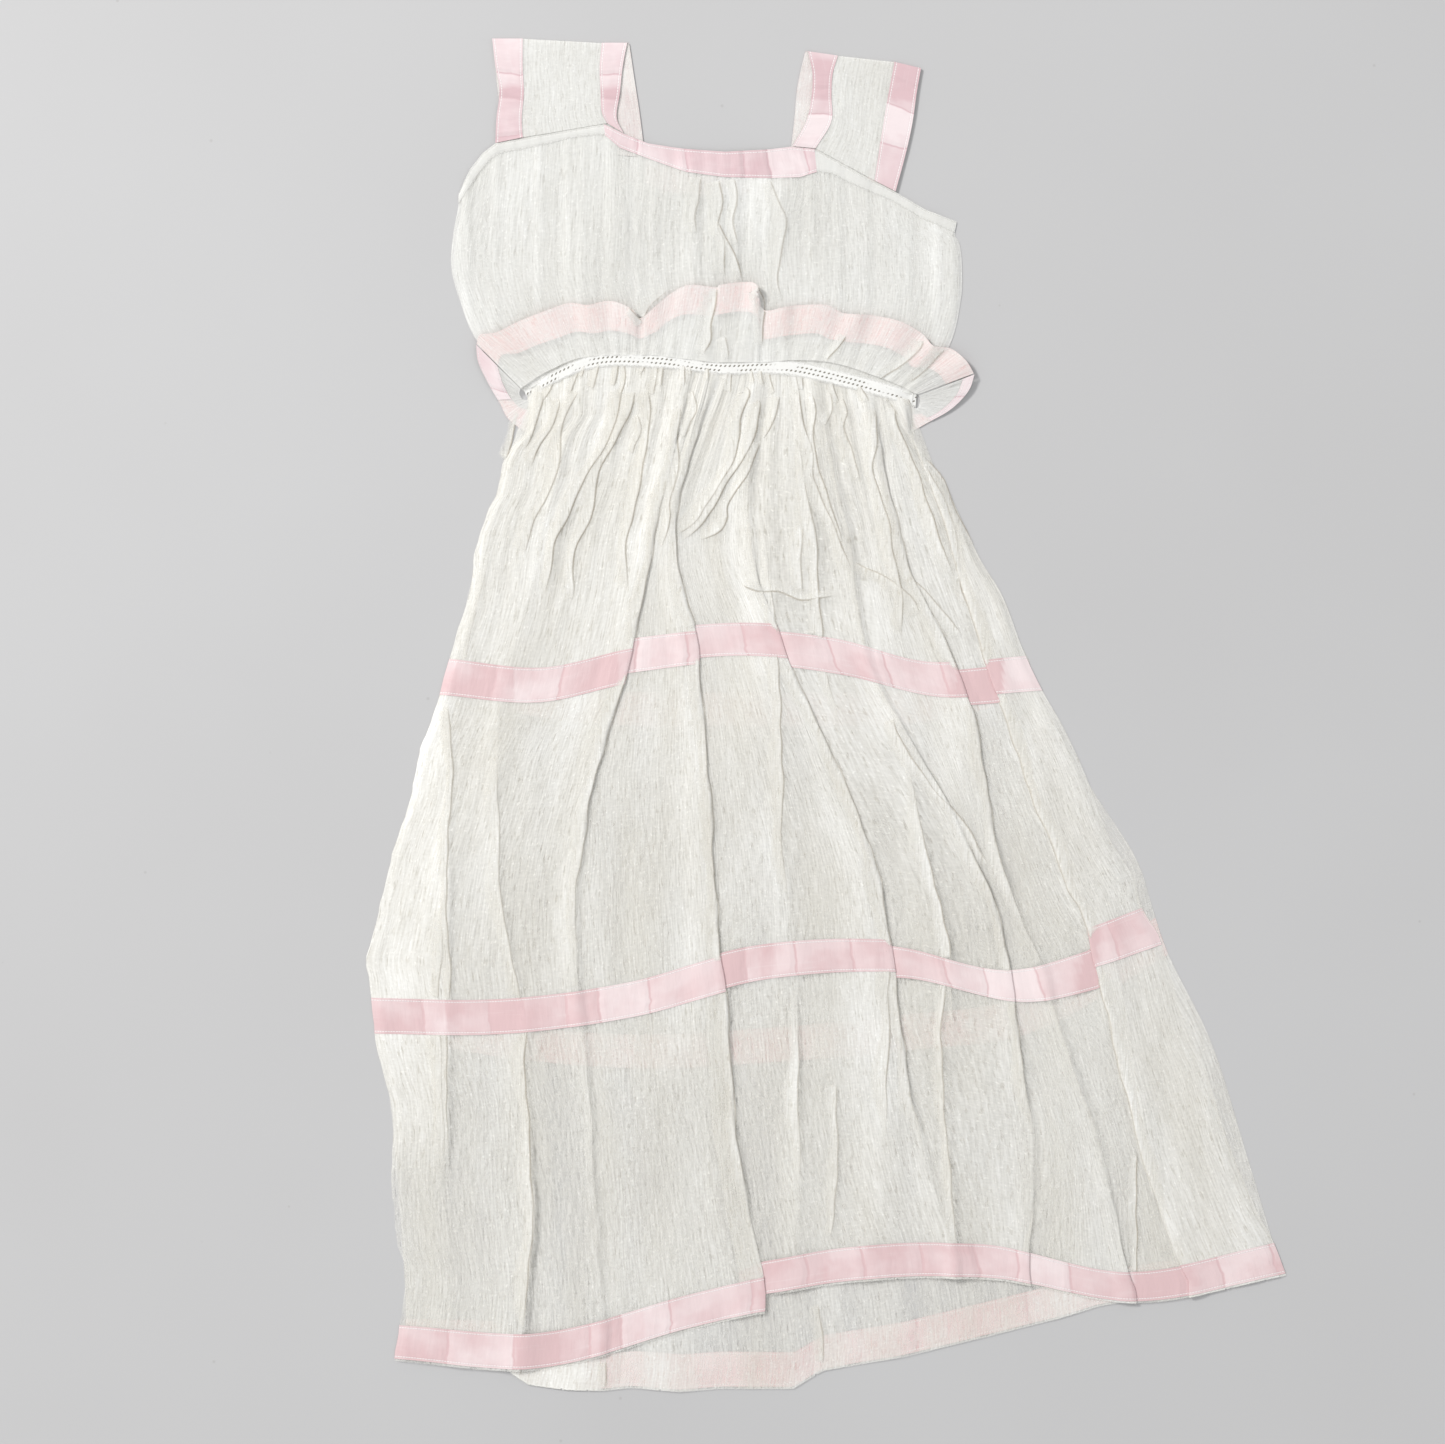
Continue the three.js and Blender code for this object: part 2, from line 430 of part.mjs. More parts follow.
// Closed shell between two distances from a grid's cloth
function shell(grid, normals, near, far) {
  const rows = grid.length;
  const columns = grid[0].length;
  const positions = [];
  [far, near].forEach((distance) => {
    grid.forEach((line, j) => line.forEach((point, i) => {
      const moved = point.clone().addScaledVector(normals[j][i], distance);
      positions.push(moved.x, moved.y, moved.z);
    }));
  });
  const at = (face, j, i) => face * rows * columns + j * columns + i;
  const index = [];
  const quad = (a, b, c, d) => index.push(a, b, c, a, c, d);
  for (let j = 0; j < rows - 1; j += 1) {
    for (let i = 0; i < columns - 1; i += 1) {
      quad(at(0, j, i), at(0, j + 1, i), at(0, j + 1, i + 1), at(0, j, i + 1));
      quad(at(1, j, i), at(1, j, i + 1), at(1, j + 1, i + 1), at(1, j + 1, i));
    }
  }
  for (let i = 0; i < columns - 1; i += 1) {
    quad(at(0, 0, i), at(0, 0, i + 1), at(1, 0, i + 1), at(1, 0, i));
    quad(at(0, rows - 1, i + 1), at(0, rows - 1, i), at(1, rows - 1, i), at(1, rows - 1, i + 1));
  }
  for (let j = 0; j < rows - 1; j += 1) {
    quad(at(0, j + 1, 0), at(0, j, 0), at(1, j, 0), at(1, j + 1, 0));
    quad(at(0, j, columns - 1), at(0, j + 1, columns - 1), at(1, j + 1, columns - 1), at(1, j, columns - 1));
  }
  const geometry = new THREE.BufferGeometry();
  geometry.setAttribute("position", new THREE.Float32BufferAttribute(positions, 3));
  geometry.setIndex(index);
  geometry.computeVertexNormals();
  return geometry;
}

function mesh(name, surface, geometry) {
  const made = new THREE.Mesh(geometry, new THREE.MeshStandardMaterial(SURFACES[surface]));
  made.name = name;
  return made;
}

function gauzePanel(name, grid, normals) {
  return mesh(name, "gauze", shell(grid, normals, -HALF_WALL, HALF_WALL));
}

// A ribbon or binding on part of a panel. side is 1 for the panel's upper face and -1 for its under face.
// Ends that meet another ribbon are drawn in by the seam gap.
function onPanel(name, surface, grid, normals, rows, columns, side) {
  const [firstRow, lastRow] = rows;
  const [first, last] = columns;
  const part = grid.slice(firstRow, lastRow + 1).map((line) => {
    const points = line.slice(first, last + 1).map((point) => point.clone());
    const drawIn = (end, inner) => end.add(
      new THREE.Vector3().subVectors(inner, end).setLength(SEAM_GAP),
    );
    if (first > 0) drawIn(points[0], points[1]);
    if (last < line.length - 1) drawIn(points[points.length - 1], points[points.length - 2]);
    return points;
  });
  const partNormals = normals.slice(firstRow, lastRow + 1).map((line) => line.slice(first, last + 1));
  const [near, far] = side > 0 ? [RIBBON_NEAR, RIBBON_FAR] : [-RIBBON_FAR, -RIBBON_NEAR];
  return mesh(name, surface, shell(part, partNormals, near, far));
}

// Three ribbons across a skirt panel
function skirtRibbons(place, grid, normals, rowOf, side) {
  const whole = [0, grid[0].length - 1];
  return [["upper", "bandOne"], ["middle", "bandTwo"], ["hem", "hem"]].map(([name, section]) => onPanel(
    `ribbon_${name}_${place}`, "ribbon", grid, normals, [rowOf(`${section}Top`), rowOf(`${section}End`)], whole, side,
  ));
}

// Front of the skirt, with further lines where the pleats bend most
function skirtFront() {
  const lines = [];
  FRONT_SECTIONS.forEach((section, index) => {
    lines.push(section);
    if (["hip", "knee"].includes(section.name)) lines.push(between(FRONT_SECTIONS, index, 0.5));
  });
  const grid = lines.map(frontLine);
  const normals = normalsOf(grid);
  const rowOf = (name) => lines.findIndex((line) => line.name === name);
  return [gauzePanel("skirt_front", grid, normals), ...skirtRibbons("front", grid, normals, rowOf, 1)];
}

function skirtBack() {
  const grid = BACK_SECTIONS.map((section) => plainLine(section, BACK_COLUMNS));
  const normals = uprights(grid);
  const rowOf = (name) => BACK_SECTIONS.findIndex((section) => section.name === name);
  return [gauzePanel("skirt_back", grid, normals), ...skirtRibbons("back", grid, normals, rowOf, -1)];
}

// Grid of a bodice panel: its top edge, the seam below it and the sections, on the columns of the top table
function bodiceGrid(top, sections) {
  const columns = [];
  top.forEach((row, k) => {
    const next = top[k + 1];
    for (let i = 0; i < row.parts; i += 1) {
      const t = i / row.parts;
      columns.push({
        top: [mix(row.top[0], next.top[0], t), mix(row.top[1], next.top[1], t)],
        seam: [mix(row.seam[0], next.seam[0], t), mix(row.seam[1], next.seam[1], t)],
        gather: mix(row.gather, next.gather, t),
      });
    }
    if (!next) columns.push(row);
  });
  const first = columns[0].top[0];
  const width = columns[columns.length - 1].top[0] - first;
  const lift = (column, i, fade) => (i % 2 === 1 ? column.gather * uneven(i) * fade : 0);
  const grid = [
    columns.map((column) => new THREE.Vector3(...column.top, sections === BODICE_FRONT_SECTIONS ? OVER_BACK : ON_RIBBON)),
    columns.map((column) => new THREE.Vector3(...column.seam, sections === BODICE_FRONT_SECTIONS ? OVER_BACK : ON_RIBBON)),
  ];
  sections.forEach((section) => {
    grid.push(columns.map((column, i) => {
      const x = mix(section.left, section.right, (column.top[0] - first) / width);
      return new THREE.Vector3(x, lineAt(section, x), section.rest + lift(column, i, section.fade));
    }));
  });
  const columnOf = (name) => {
    let count = 0;
    for (const row of top) {
      if (row.name === name) return count;
      count += row.parts;
    }
    return count;
  };
  return { grid, columnOf, last: columns.length - 1 };
}

function bodiceFront() {
  const { grid, columnOf, last } = bodiceGrid(BODICE_FRONT_TOP, BODICE_FRONT_SECTIONS);
  const normals = normalsOf(grid);
  const edging = (name, surface, from, to) => onPanel(name, surface, grid, normals, [0, 1], [from, to], 1);
  return [
    gauzePanel("bodice_front", grid, normals),
    edging("armhole_binding_front_left", "binding", 0, columnOf("strapLeftInner")),
    edging("ribbon_neck_front", "ribbon", columnOf("strapLeftInner"), columnOf("strapRightInner")),
    edging("armhole_binding_front_right", "binding", columnOf("strapRightInner"), last),
  ];
}

function bodiceBack() {
  const { grid, columnOf, last } = bodiceGrid(BODICE_BACK_TOP, BODICE_BACK_SECTIONS);
  const normals = uprights(grid);
  const edging = (name, surface, from, to) => onPanel(name, surface, grid, normals, [0, 1], [from, to], -1);
  return [
    gauzePanel("bodice_back", grid, normals),
    edging("armhole_binding_back_left", "binding", 0, columnOf("strapLeftOuter")),
    edging("ribbon_neck_back", "ribbon", columnOf("strapLeftInner"), columnOf("strapRightInner")),
    edging("armhole_binding_back_right", "binding", columnOf("strapRightOuter"), last),
  ];
}

function waistband(name, edges, height) {
  const grid = edges.map((edge) => plainLine({ ...edge, rest: height, gather: 0 }, WAISTBAND_COLUMNS));
  return mesh(name, "openwork", shell(grid, uprights(grid), -HALF_WALL, HALF_WALL));
}

// The ruffle's grid runs from its free edge to its seam, with a line at the ribbon's inner edge and one half way
function ruffleGrid(rows, heights) {
  const spread = [];
  rows.forEach((row, k) => {
    spread.push({ ...row, pleat: 0 });
    const next = rows[k + 1];
    if (!next) return;
    spread.push({
      seam: [mix(row.seam[0], next.seam[0], 0.5), mix(row.seam[1], next.seam[1], 0.5)],
      edge: [mix(row.edge[0], next.edge[0], 0.5), mix(row.edge[1], next.edge[1], 0.5)],
      lift: mix(row.lift ?? 0, next.lift ?? 0, 0.5),
      seamZ: mix(row.seamZ ?? 0, next.seamZ ?? 0, 0.5),
      edgeZ: mix(row.edgeZ ?? 0, next.edgeZ ?? 0, 0.5),
      pleat: 1,
    });
  });
  const line = (shareOf) => spread.map((column) => {
    const length = Math.hypot(column.seam[0] - column.edge[0], column.seam[1] - column.edge[1]);
    const share = shareOf(length);
    return new THREE.Vector3(
      mix(column.edge[0], column.seam[0], share),
      mix(column.edge[1], column.seam[1], share),
      heights(column, share),
    );
  });
  const ribbonShare = (length) => Math.min(RUFFLE_RIBBON_MOST, RUFFLE_RIBBON / length);
  return [
    line(() => 0),
    line(ribbonShare),
    line((length) => (1 + ribbonShare(length)) / 2),
    line(() => 1),
  ];
}

function ruffleFront() {
  const grid = ruffleGrid(RUFFLE_FRONT, (column, share) => (
    RUFFLE_FRONT_Z + mix(column.lift, RUFFLE_PLEAT * column.pleat, share)
  ));
  const normals = normalsOf(grid);
  return [
    gauzePanel("ruffle_front", grid, normals),
    onPanel("ribbon_ruffle_front", "ribbon", grid, normals, [0, 1], [0, grid[0].length - 1], -1),
  ];
}

function ruffleBack() {
  const grid = ruffleGrid(RUFFLE_BACK, (column, share) => mix(column.edgeZ, column.seamZ, share)).reverse();
  const normals = normalsOf(grid);
  return [
    gauzePanel("ruffle_back", grid, normals),
    onPanel("ribbon_ruffle_back", "ribbon", grid, normals, [2, 3], [0, grid[0].length - 1], -1),
  ];
}

// A strap's grid runs down its front, which is the reverse of the table, after its back and the turn at the shoulder
function strap(side, front, back) {
  const line = (row, height, push = 0) => {
    const middle = [mix(row.x[1], row.x[2], 0.5), mix(row.y[1], row.y[2], 0.5)];
    const across = [[row.x[0], row.y[0]], [row.x[1], row.y[1]], middle, [row.x[2], row.y[2]], [row.x[3], row.y[3]]];
    return across.map(([x, y]) => new THREE.Vector3(x, y + push, height));
  };
  const top = front[front.length - 1];
  const shoulder = [];
  for (let i = 1; i < SHOULDER_STEPS; i += 1) {
    const angle = (Math.PI * i) / SHOULDER_STEPS;
    const share = i / SHOULDER_STEPS;
    const row = { x: top.x.map((x, k) => mix(x, back[0].x[k], share)), y: top.y };
    const height = OVER_BACK - SHOULDER_RADIUS + SHOULDER_RADIUS * Math.cos(angle);
    shoulder.push(line(row, height, SHOULDER_RADIUS * Math.sin(angle)));
  }
  const grid = [
    ...front.map((row) => line(row, OVER_BACK)),
    ...shoulder,
    ...back.map((row) => line(row, ON_RIBBON)),
  ].reverse();
  const normals = normalsOf(grid);
  const rows = [0, grid.length - 1];
  const names = side === "left" ? ["outer", "inner"] : ["inner", "outer"];
  return [
    gauzePanel(`strap_${side}`, grid, normals),
    onPanel(`ribbon_strap_${side}_${names[0]}`, "ribbon", grid, normals, rows, [0, 1], 1),
    onPanel(`ribbon_strap_${side}_${names[1]}`, "ribbon", grid, normals, rows, [3, 4], 1),
  ];
}

const dress = new THREE.Group();
dress.name = "ruffled_dress";
dress.add(
  ...skirtFront(),
  ...skirtBack(),
  waistband("waistband_front", WAISTBAND_FRONT, WAISTBAND_FRONT_Z),
  waistband("waistband_back", WAISTBAND_BACK, BACK_OVER_RUFFLE),
  ...ruffleFront(),
  ...ruffleBack(),
  ...bodiceFront(),
  ...bodiceBack(),
  ...strap("left", STRAP_LEFT_FRONT, STRAP_LEFT_BACK),
  ...strap("right", STRAP_RIGHT_FRONT, STRAP_RIGHT_BACK),
);

export default dress;
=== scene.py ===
# %% [markdown]
# # A gauze dress, laid flat
# The real thing is a long sleeveless dress of thin crinkled cotton gauze with satin ribbon on its edges, laid
# on a table with its front up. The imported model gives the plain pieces. Here each of them gets its thin
# cloth, its creases, its sewing and its finish. Everything is in metres once it reaches Blender, and in
# millimetres before, because a dressmaker thinks in millimetres.

import math

import bpy
import numpy as np
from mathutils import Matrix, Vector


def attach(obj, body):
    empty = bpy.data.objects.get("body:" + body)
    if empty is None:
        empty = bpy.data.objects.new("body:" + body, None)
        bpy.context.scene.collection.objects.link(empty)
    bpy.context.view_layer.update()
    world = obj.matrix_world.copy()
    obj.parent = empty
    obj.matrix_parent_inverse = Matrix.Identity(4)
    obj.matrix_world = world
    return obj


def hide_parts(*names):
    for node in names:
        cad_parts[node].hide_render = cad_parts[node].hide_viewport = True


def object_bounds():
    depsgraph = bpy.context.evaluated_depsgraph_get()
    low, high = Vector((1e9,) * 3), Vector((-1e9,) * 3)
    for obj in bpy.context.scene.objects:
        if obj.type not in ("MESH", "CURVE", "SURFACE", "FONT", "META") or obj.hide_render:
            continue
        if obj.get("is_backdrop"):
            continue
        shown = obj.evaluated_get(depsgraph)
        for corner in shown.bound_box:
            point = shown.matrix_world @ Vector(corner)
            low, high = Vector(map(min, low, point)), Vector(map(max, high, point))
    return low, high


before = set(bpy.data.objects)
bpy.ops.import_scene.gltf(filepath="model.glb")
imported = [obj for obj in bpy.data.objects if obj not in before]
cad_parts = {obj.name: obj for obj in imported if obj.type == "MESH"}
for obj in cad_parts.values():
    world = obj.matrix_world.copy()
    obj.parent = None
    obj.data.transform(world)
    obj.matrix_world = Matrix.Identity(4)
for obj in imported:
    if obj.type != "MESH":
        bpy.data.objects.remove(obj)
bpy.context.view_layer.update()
print("pieces to dress:", len(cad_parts))

# %% [markdown]
# ## Where the camera looks from
# The dress lies on a table and the camera hangs straight above it. The picture is 1445 pixels wide and 1444
# high, and one of its pixels is 0.95 mm of the table. A long lens, far away, keeps the edges of the cloth
# from leaning.

# %% Camera
PHOTO_WIDE, PHOTO_HIGH = 1445, 1444
PIXEL_MM = 0.95  # size of a photo pixel on the table
ORIGIN_PIXEL = (825.0, 714.5)  # the photo pixel that lies over the origin


def spot(px, py):
    """Place on the table, in millimetres, of a pixel of the photo."""
    return (px - ORIGIN_PIXEL[0]) * PIXEL_MM, (ORIGIN_PIXEL[1] - py) * PIXEL_MM


CAMERA_HEIGHT = 3.0
SENSOR = 36.0
middle_x, middle_y = spot(PHOTO_WIDE / 2, PHOTO_HIGH / 2)
camera_data = bpy.data.cameras.new("camera")
camera_data.sensor_width = SENSOR
camera_data.lens = SENSOR * CAMERA_HEIGHT / (PHOTO_WIDE * PIXEL_MM / 1000)
camera = bpy.data.objects.new("camera", camera_data)
camera.location = (middle_x / 1000, middle_y / 1000, CAMERA_HEIGHT)
bpy.context.scene.collection.objects.link(camera)
bpy.context.scene.camera = camera
print("lens in millimetres:", round(camera_data.lens, 1))

# %% [markdown]
# ## Light and table
# The picture has the flat, bright light of a big window or a tent, a little stronger from the upper left, so
# the folds have soft short shadows on their right. One large area light, one weak one and a pale world do
# that. The colours go to the picture unchanged ("Standard"), which makes matching simple. Thin
# see-through cloth needs more transparent bounces than usual, because a ray may pass eight layers or more.

# %% Light and table
WINDOW_WATTS, FILL_WATTS = 400, 30
SKY_STRENGTH = 0.70
MAX_LAYER_HITS = 32  # see-through faces that a ray may pass
TABLE_METRES = 14
scene = bpy.context.scene
scene.view_settings.view_transform = "Standard"
scene.cycles.transparent_max_bounces = MAX_LAYER_HITS


def area_light(name, place, size, watts):
    light = bpy.data.lights.new(name, "AREA")
    light.shape = "DISK"
    light.size = size
    light.energy = watts
    lamp = bpy.data.objects.new(name, light)
    lamp.location = place
    aim = -lamp.location
    lamp.rotation_euler = aim.to_track_quat("-Z", "Y").to_euler()
    scene.collection.objects.link(lamp)
    return lamp


area_light("window", (-4.6, 3.6, 4.2), 1.4, WINDOW_WATTS)
area_light("far_fill", (2.5, -2.0, 5.0), 4.0, FILL_WATTS)
world = bpy.data.worlds.new("studio")
scene.world = world
world.use_nodes = True
world.node_tree.nodes["Background"].inputs["Color"].default_value = (0.95, 0.97, 1.0, 1)
world.node_tree.nodes["Background"].inputs["Strength"].default_value = SKY_STRENGTH

bpy.ops.mesh.primitive_plane_add(size=TABLE_METRES, location=(0, 0, 0))
table_top = bpy.context.object
table_top.name = "table_top"
table_top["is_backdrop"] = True

# %% [markdown]
# ## Small helpers for shader nodes
# Each finish is built in code. A helper that makes a node and wires its inputs in one line keeps the recipes
# short enough to read as recipes.


# %% Node helpers
def node(tree, kind, values=None, **settings):
    """A new node. values sets or wires its inputs by name or number."""
    made = tree.nodes.new(kind)
    for key, value in settings.items():
        setattr(made, key, value)
    for key, value in (values or {}).items():
        if isinstance(value, bpy.types.NodeSocket):
            tree.links.new(value, made.inputs[key])
        else:
            made.inputs[key].default_value = value
    return made


def maths(tree, operation, a, b=0.0, clamp=False):
    return node(tree, "ShaderNodeMath", {0: a, 1: b}, operation=operation, use_clamp=clamp).outputs[0]


def blend_colour(tree, share, a, b):
    return node(tree, "ShaderNodeMix", {0: share, 6: a, 7: b}, data_type="RGBA").outputs[2]


def remap(tree, value, low, high, to_low=0.0, to_high=1.0):
    return node(tree, "ShaderNodeMapRange", {0: value, 1: low, 2: high, 3: to_low, 4: to_high}).outputs[0]


def group_tree(name, inputs, outputs):
    """A shader node group with named inputs and outputs."""
    tree = bpy.data.node_groups.new(name, "ShaderNodeTree")
    for label, kind, value in inputs:
        socket = tree.interface.new_socket(label, in_out="INPUT", socket_type=kind)
        if value is not None:
            socket.default_value = value
    for label, kind in outputs:
        tree.interface.new_socket(label, in_out="OUTPUT", socket_type=kind)
    source = tree.nodes.new("NodeGroupInput")
    result = tree.nodes.new("NodeGroupOutput")
    return tree, source.outputs, result.inputs


def use_group(tree, group, values):
    made = tree.nodes.new("ShaderNodeGroup")
    made.node_tree = group
    for key, value in values.items():
        if isinstance(value, bpy.types.NodeSocket):
            tree.links.new(value, made.inputs[key])
        else:
            made.inputs[key].default_value = value
    return made.outputs


def new_material(name):
    material = bpy.data.materials.new(name)
    material.use_nodes = True
    tree = material.node_tree
    shader = tree.nodes["Principled BSDF"]
    return material, tree, shader


# %% [markdown]
# ## The table's finish
# A smooth pale grey board with faint clouds and a few tiny specks, a little brighter on the left only from
# the window's light. Two noises do the clouds and specks.

# %% Table finish
material, tree, shader = new_material("pale_board")
place = node(tree, "ShaderNodeTexCoord").outputs["Object"]
clouds = node(tree, "ShaderNodeTexNoise", {"Vector": place, "Scale": 1.6, "Detail": 3.0}).outputs["Fac"]
specks = node(tree, "ShaderNodeTexVoronoi", {"Vector": place, "Scale": 16.0}).outputs["Distance"]
speck_mask = remap(tree, specks, 0.016, 0.03, 1.0, 0.0)
board = blend_colour(tree, clouds, (0.485, 0.475, 0.468, 1), (0.54, 0.535, 0.53, 1))
tree.links.new(blend_colour(tree, maths(tree, "MULTIPLY", speck_mask, 0.25), board, (0.3, 0.28, 0.26, 1)),
               shader.inputs["Base Color"])
shader.inputs["Roughness"].default_value = 0.6
shader.inputs["Specular IOR Level"].default_value = 0.25
table_top.data.materials.append(material)
print("table finish:", material.name)

# %% [markdown]
# ## The gauze's weave
# Cotton gauze is a loose plain weave of thin uneven threads. Its warp shows as fine upright lines, with short
# dark gaps where threads have drifted apart, and small pale slubs where a thread is thick. Seen from a metre
# away no thread is resolved, so the group works with shares: how much of the surface the threads cover
# ("Cover"), how high they stand ("Relief") and how pale they are ("Tone"). It reads the cloth's own
# coordinates, which every mesh here carries as an attribute named cloth: metres across the cloth, metres down
# it, and a number of its own.

# %% Gauze weave group
weave, wi, wo = group_tree(
    "gauze_weave",
    [("Cloth", "NodeSocketVector", None), ("Cover", "NodeSocketFloat", 0.45),
     ("Unevenness", "NodeSocketFloat", 1.0)],
    [("Cover", "NodeSocketFloat"), ("Relief", "NodeSocketFloat"), ("Tone", "NodeSocketFloat")],
)


def stretched_noise(tree, cloth, across, down, detail=2.0, rough=0.5):
    """Noise with its own scale across and down the cloth, in cycles a metre."""
    scaled = node(tree, "ShaderNodeVectorMath", {0: cloth, 1: (across, down, 7.0)},
                  operation="MULTIPLY").outputs[0]
    return node(tree, "ShaderNodeTexNoise",
                {"Vector": scaled, "Scale": 1.0, "Detail": detail, "Roughness": rough}).outputs["Fac"]


def added(tree, parts):
    """Sum of noises, each taken from its middle value and given its own share."""
    total = 0.0
    for value, middle, share in parts:
        centred = maths(tree, "SUBTRACT", value, middle)
        total = maths(tree, "ADD", total, maths(tree, "MULTIPLY", centred, share))
    return total


warp = stretched_noise(weave, wi["Cloth"], 480, 48, 1.0, 0.6)
weft = stretched_noise(weave, wi["Cloth"], 170, 420, 1.0, 0.6)
gaps = stretched_noise(weave, wi["Cloth"], 420, 90, 1.0, 0.5)
slubs = stretched_noise(weave, wi["Cloth"], 330, 260, 1.0, 0.6)
patches = stretched_noise(weave, wi["Cloth"], 15, 5, 2.0, 0.5)
streaks = stretched_noise(weave, wi["Cloth"], 75, 9, 1.0, 0.6)
gap_mask = remap(weave, gaps, 0.6, 0.72)
slub_mask = remap(weave, slubs, 0.62, 0.74)
uneven = added(weave, [(warp, 0.5, 0.7), (weft, 0.5, 0.3), (patches, 0.5, 0.5), (streaks, 0.5, 0.3),
                       (gap_mask, 0.0, -0.22), (slub_mask, 0.0, 0.28)])
uneven = maths(weave, "MULTIPLY", uneven, wi["Unevenness"])
cover = maths(weave, "ADD", wi["Cover"], maths(weave, "MULTIPLY", uneven, 0.62), clamp=True)
weave.links.new(cover, wo["Cover"])
weave.links.new(added(weave, [(warp, 0.0, 0.6), (weft, 0.0, 0.25), (slub_mask, 0.0, 0.5)]), wo["Relief"])
tone = added(weave, [(warp, 0.5, 0.6), (patches, 0.5, 1.1), (gap_mask, 0.0, -0.4)])
weave.links.new(maths(weave, "ADD", tone, 0.55, clamp=True), wo["Tone"])
print("weave group nodes:", len(weave.nodes))

# %% [markdown]
# ## Crinkle
# The cloth was never ironed flat: it is full of small soft crinkles that run mostly down it. They are too
# many to model, so they go into the surface's normal, as a height that varies quickly across and slowly down.

# %% Crinkle group
crinkle, ci, co = group_tree(
    "crinkle",
    [("Cloth", "NodeSocketVector", None), ("Fine", "NodeSocketFloat", 0.5)],
    [("Height", "NodeSocketFloat")],
)
soft = stretched_noise(crinkle, ci["Cloth"], 24, 7.5, 2.0, 0.5)
sharp = stretched_noise(crinkle, ci["Cloth"], 110, 15, 1.0, 0.5)
apart = maths(crinkle, "ABSOLUTE", maths(crinkle, "SUBTRACT", soft, 0.5))
ridged = maths(crinkle, "SUBTRACT", 1.0, maths(crinkle, "MULTIPLY", apart, 4.0), clamp=True)
height = maths(crinkle, "ADD", maths(crinkle, "MULTIPLY", ridged, 0.7),
               maths(crinkle, "MULTIPLY", sharp, ci["Fine"]))
crinkle.links.new(height, co["Height"])
print("crinkle group nodes:", len(crinkle.nodes))


# %% [markdown]
# ## Gauze finish
# Off-white, quite matt, with the slight fuzz of worn cotton ("sheen"). Each layer lets about four tenths of
# the light through, so two layers look paler than one over the grey table, and the ribbons under a layer glow
# through it as pale pink. A cloth here is a thin shell, so a ray meets its cover twice: the value on each
# face is lower.


# %% Gauze finish
def gauze_finish(name, cover, unevenness=1.0, crinkle_depth=0.0009,
                 colour=((0.82, 0.785, 0.70), (0.965, 0.955, 0.92))):
    material, tree, shader = new_material(name)
    cloth = node(tree, "ShaderNodeAttribute", attribute_name="cloth").outputs["Vector"]
    place = node(tree, "ShaderNodeAttribute", attribute_name="edging").outputs["Vector"]
    raw, double, shade = node(tree, "ShaderNodeSeparateXYZ", {0: place}).outputs
    threads = use_group(tree, weave, {"Cloth": cloth, "Cover": cover, "Unevenness": unevenness})
    folds = use_group(tree, crinkle, {"Cloth": cloth, "Fine": 0.4})
    low, high = colour
    cotton = blend_colour(tree, threads["Tone"], (*low, 1), (*high, 1))
    # painted shade: the edging's shade share blends the cotton to brown, the shadow in the crevice beside a
    # fold
    cotton = blend_colour(tree, maths(tree, "MULTIPLY", shade, 0.75, clamp=True), cotton,
                          (0.50, 0.43, 0.32, 1))
    tree.links.new(cotton, shader.inputs["Base Color"])
    covered = maths(tree, "ADD", threads["Cover"], maths(tree, "MULTIPLY", double, 0.34), clamp=True)
    ragged = maths(tree, "ADD", raw, maths(tree, "MULTIPLY", threads["Relief"], -0.0022))
    covered = maths(tree, "MULTIPLY", covered, remap(tree, ragged, -0.0012, -0.0003))
    tree.links.new(covered, shader.inputs["Alpha"])
    rough_folds = node(tree, "ShaderNodeBump",
                       {"Strength": 1.0, "Distance": crinkle_depth, "Height": folds["Height"]}).outputs[0]
    surface = node(tree, "ShaderNodeBump", {"Strength": 0.25, "Distance": 0.0003, "Height": threads["Relief"],
                                            "Normal": rough_folds}).outputs[0]
    tree.links.new(surface, shader.inputs["Normal"])
    shader.inputs["Roughness"].default_value = 0.9
    shader.inputs["Specular IOR Level"].default_value = 0.15
    shader.inputs["Sheen Weight"].default_value = 0.15
    shader.inputs["Sheen Roughness"].default_value = 0.6
    return material


skirt_gauze = gauze_finish("gauze_skirt", 0.345, 1.0, 0.0006)
bodice_gauze = gauze_finish("gauze_bodice", 0.42, 0.8, 0.0006, ((0.86, 0.84, 0.78), (0.965, 0.96, 0.93)))
print("gauze finishes: 2")

# %% [markdown]
# ## Satin ribbon finish
# Washed satin ribbon, pale pink, has fine cross ribs, a soft gloss, small wrinkles and a darker pink where it
# has faded less. Along pressed fold lines and in the valleys where it was folded over, the darker pink is
# painted shade. A row of white machine stitches runs close to each edge. The ribbon meshes carry an attribute
# named ribbon: metres along it, metres across it and its width, from which the stitch lines are drawn.

# %% Ribbon groups
stitch, si, so = group_tree(
    "stitch_rows",
    [("Ribbon", "NodeSocketVector", None), ("Inset", "NodeSocketFloat", 0.0022),
     ("Pitch", "NodeSocketFloat", 0.0026)],
    [("Thread", "NodeSocketFloat"), ("Pucker", "NodeSocketFloat")],
)
split = node(stitch, "ShaderNodeSeparateXYZ", {0: si["Ribbon"]}).outputs
from_far = maths(stitch, "SUBTRACT", split[2], split[1])
from_edge = maths(stitch, "MINIMUM", split[1], from_far)
off_line = maths(stitch, "ABSOLUTE", maths(stitch, "SUBTRACT", from_edge, si["Inset"]))
on_line = remap(stitch, off_line, 0.0002, 0.0006, 1.0, 0.0)
step = maths(stitch, "FRACT", maths(stitch, "DIVIDE", split[0], si["Pitch"]))
dash = remap(stitch, maths(stitch, "ABSOLUTE", maths(stitch, "SUBTRACT", step, 0.5)), 0.36, 0.46, 1.0, 0.0)
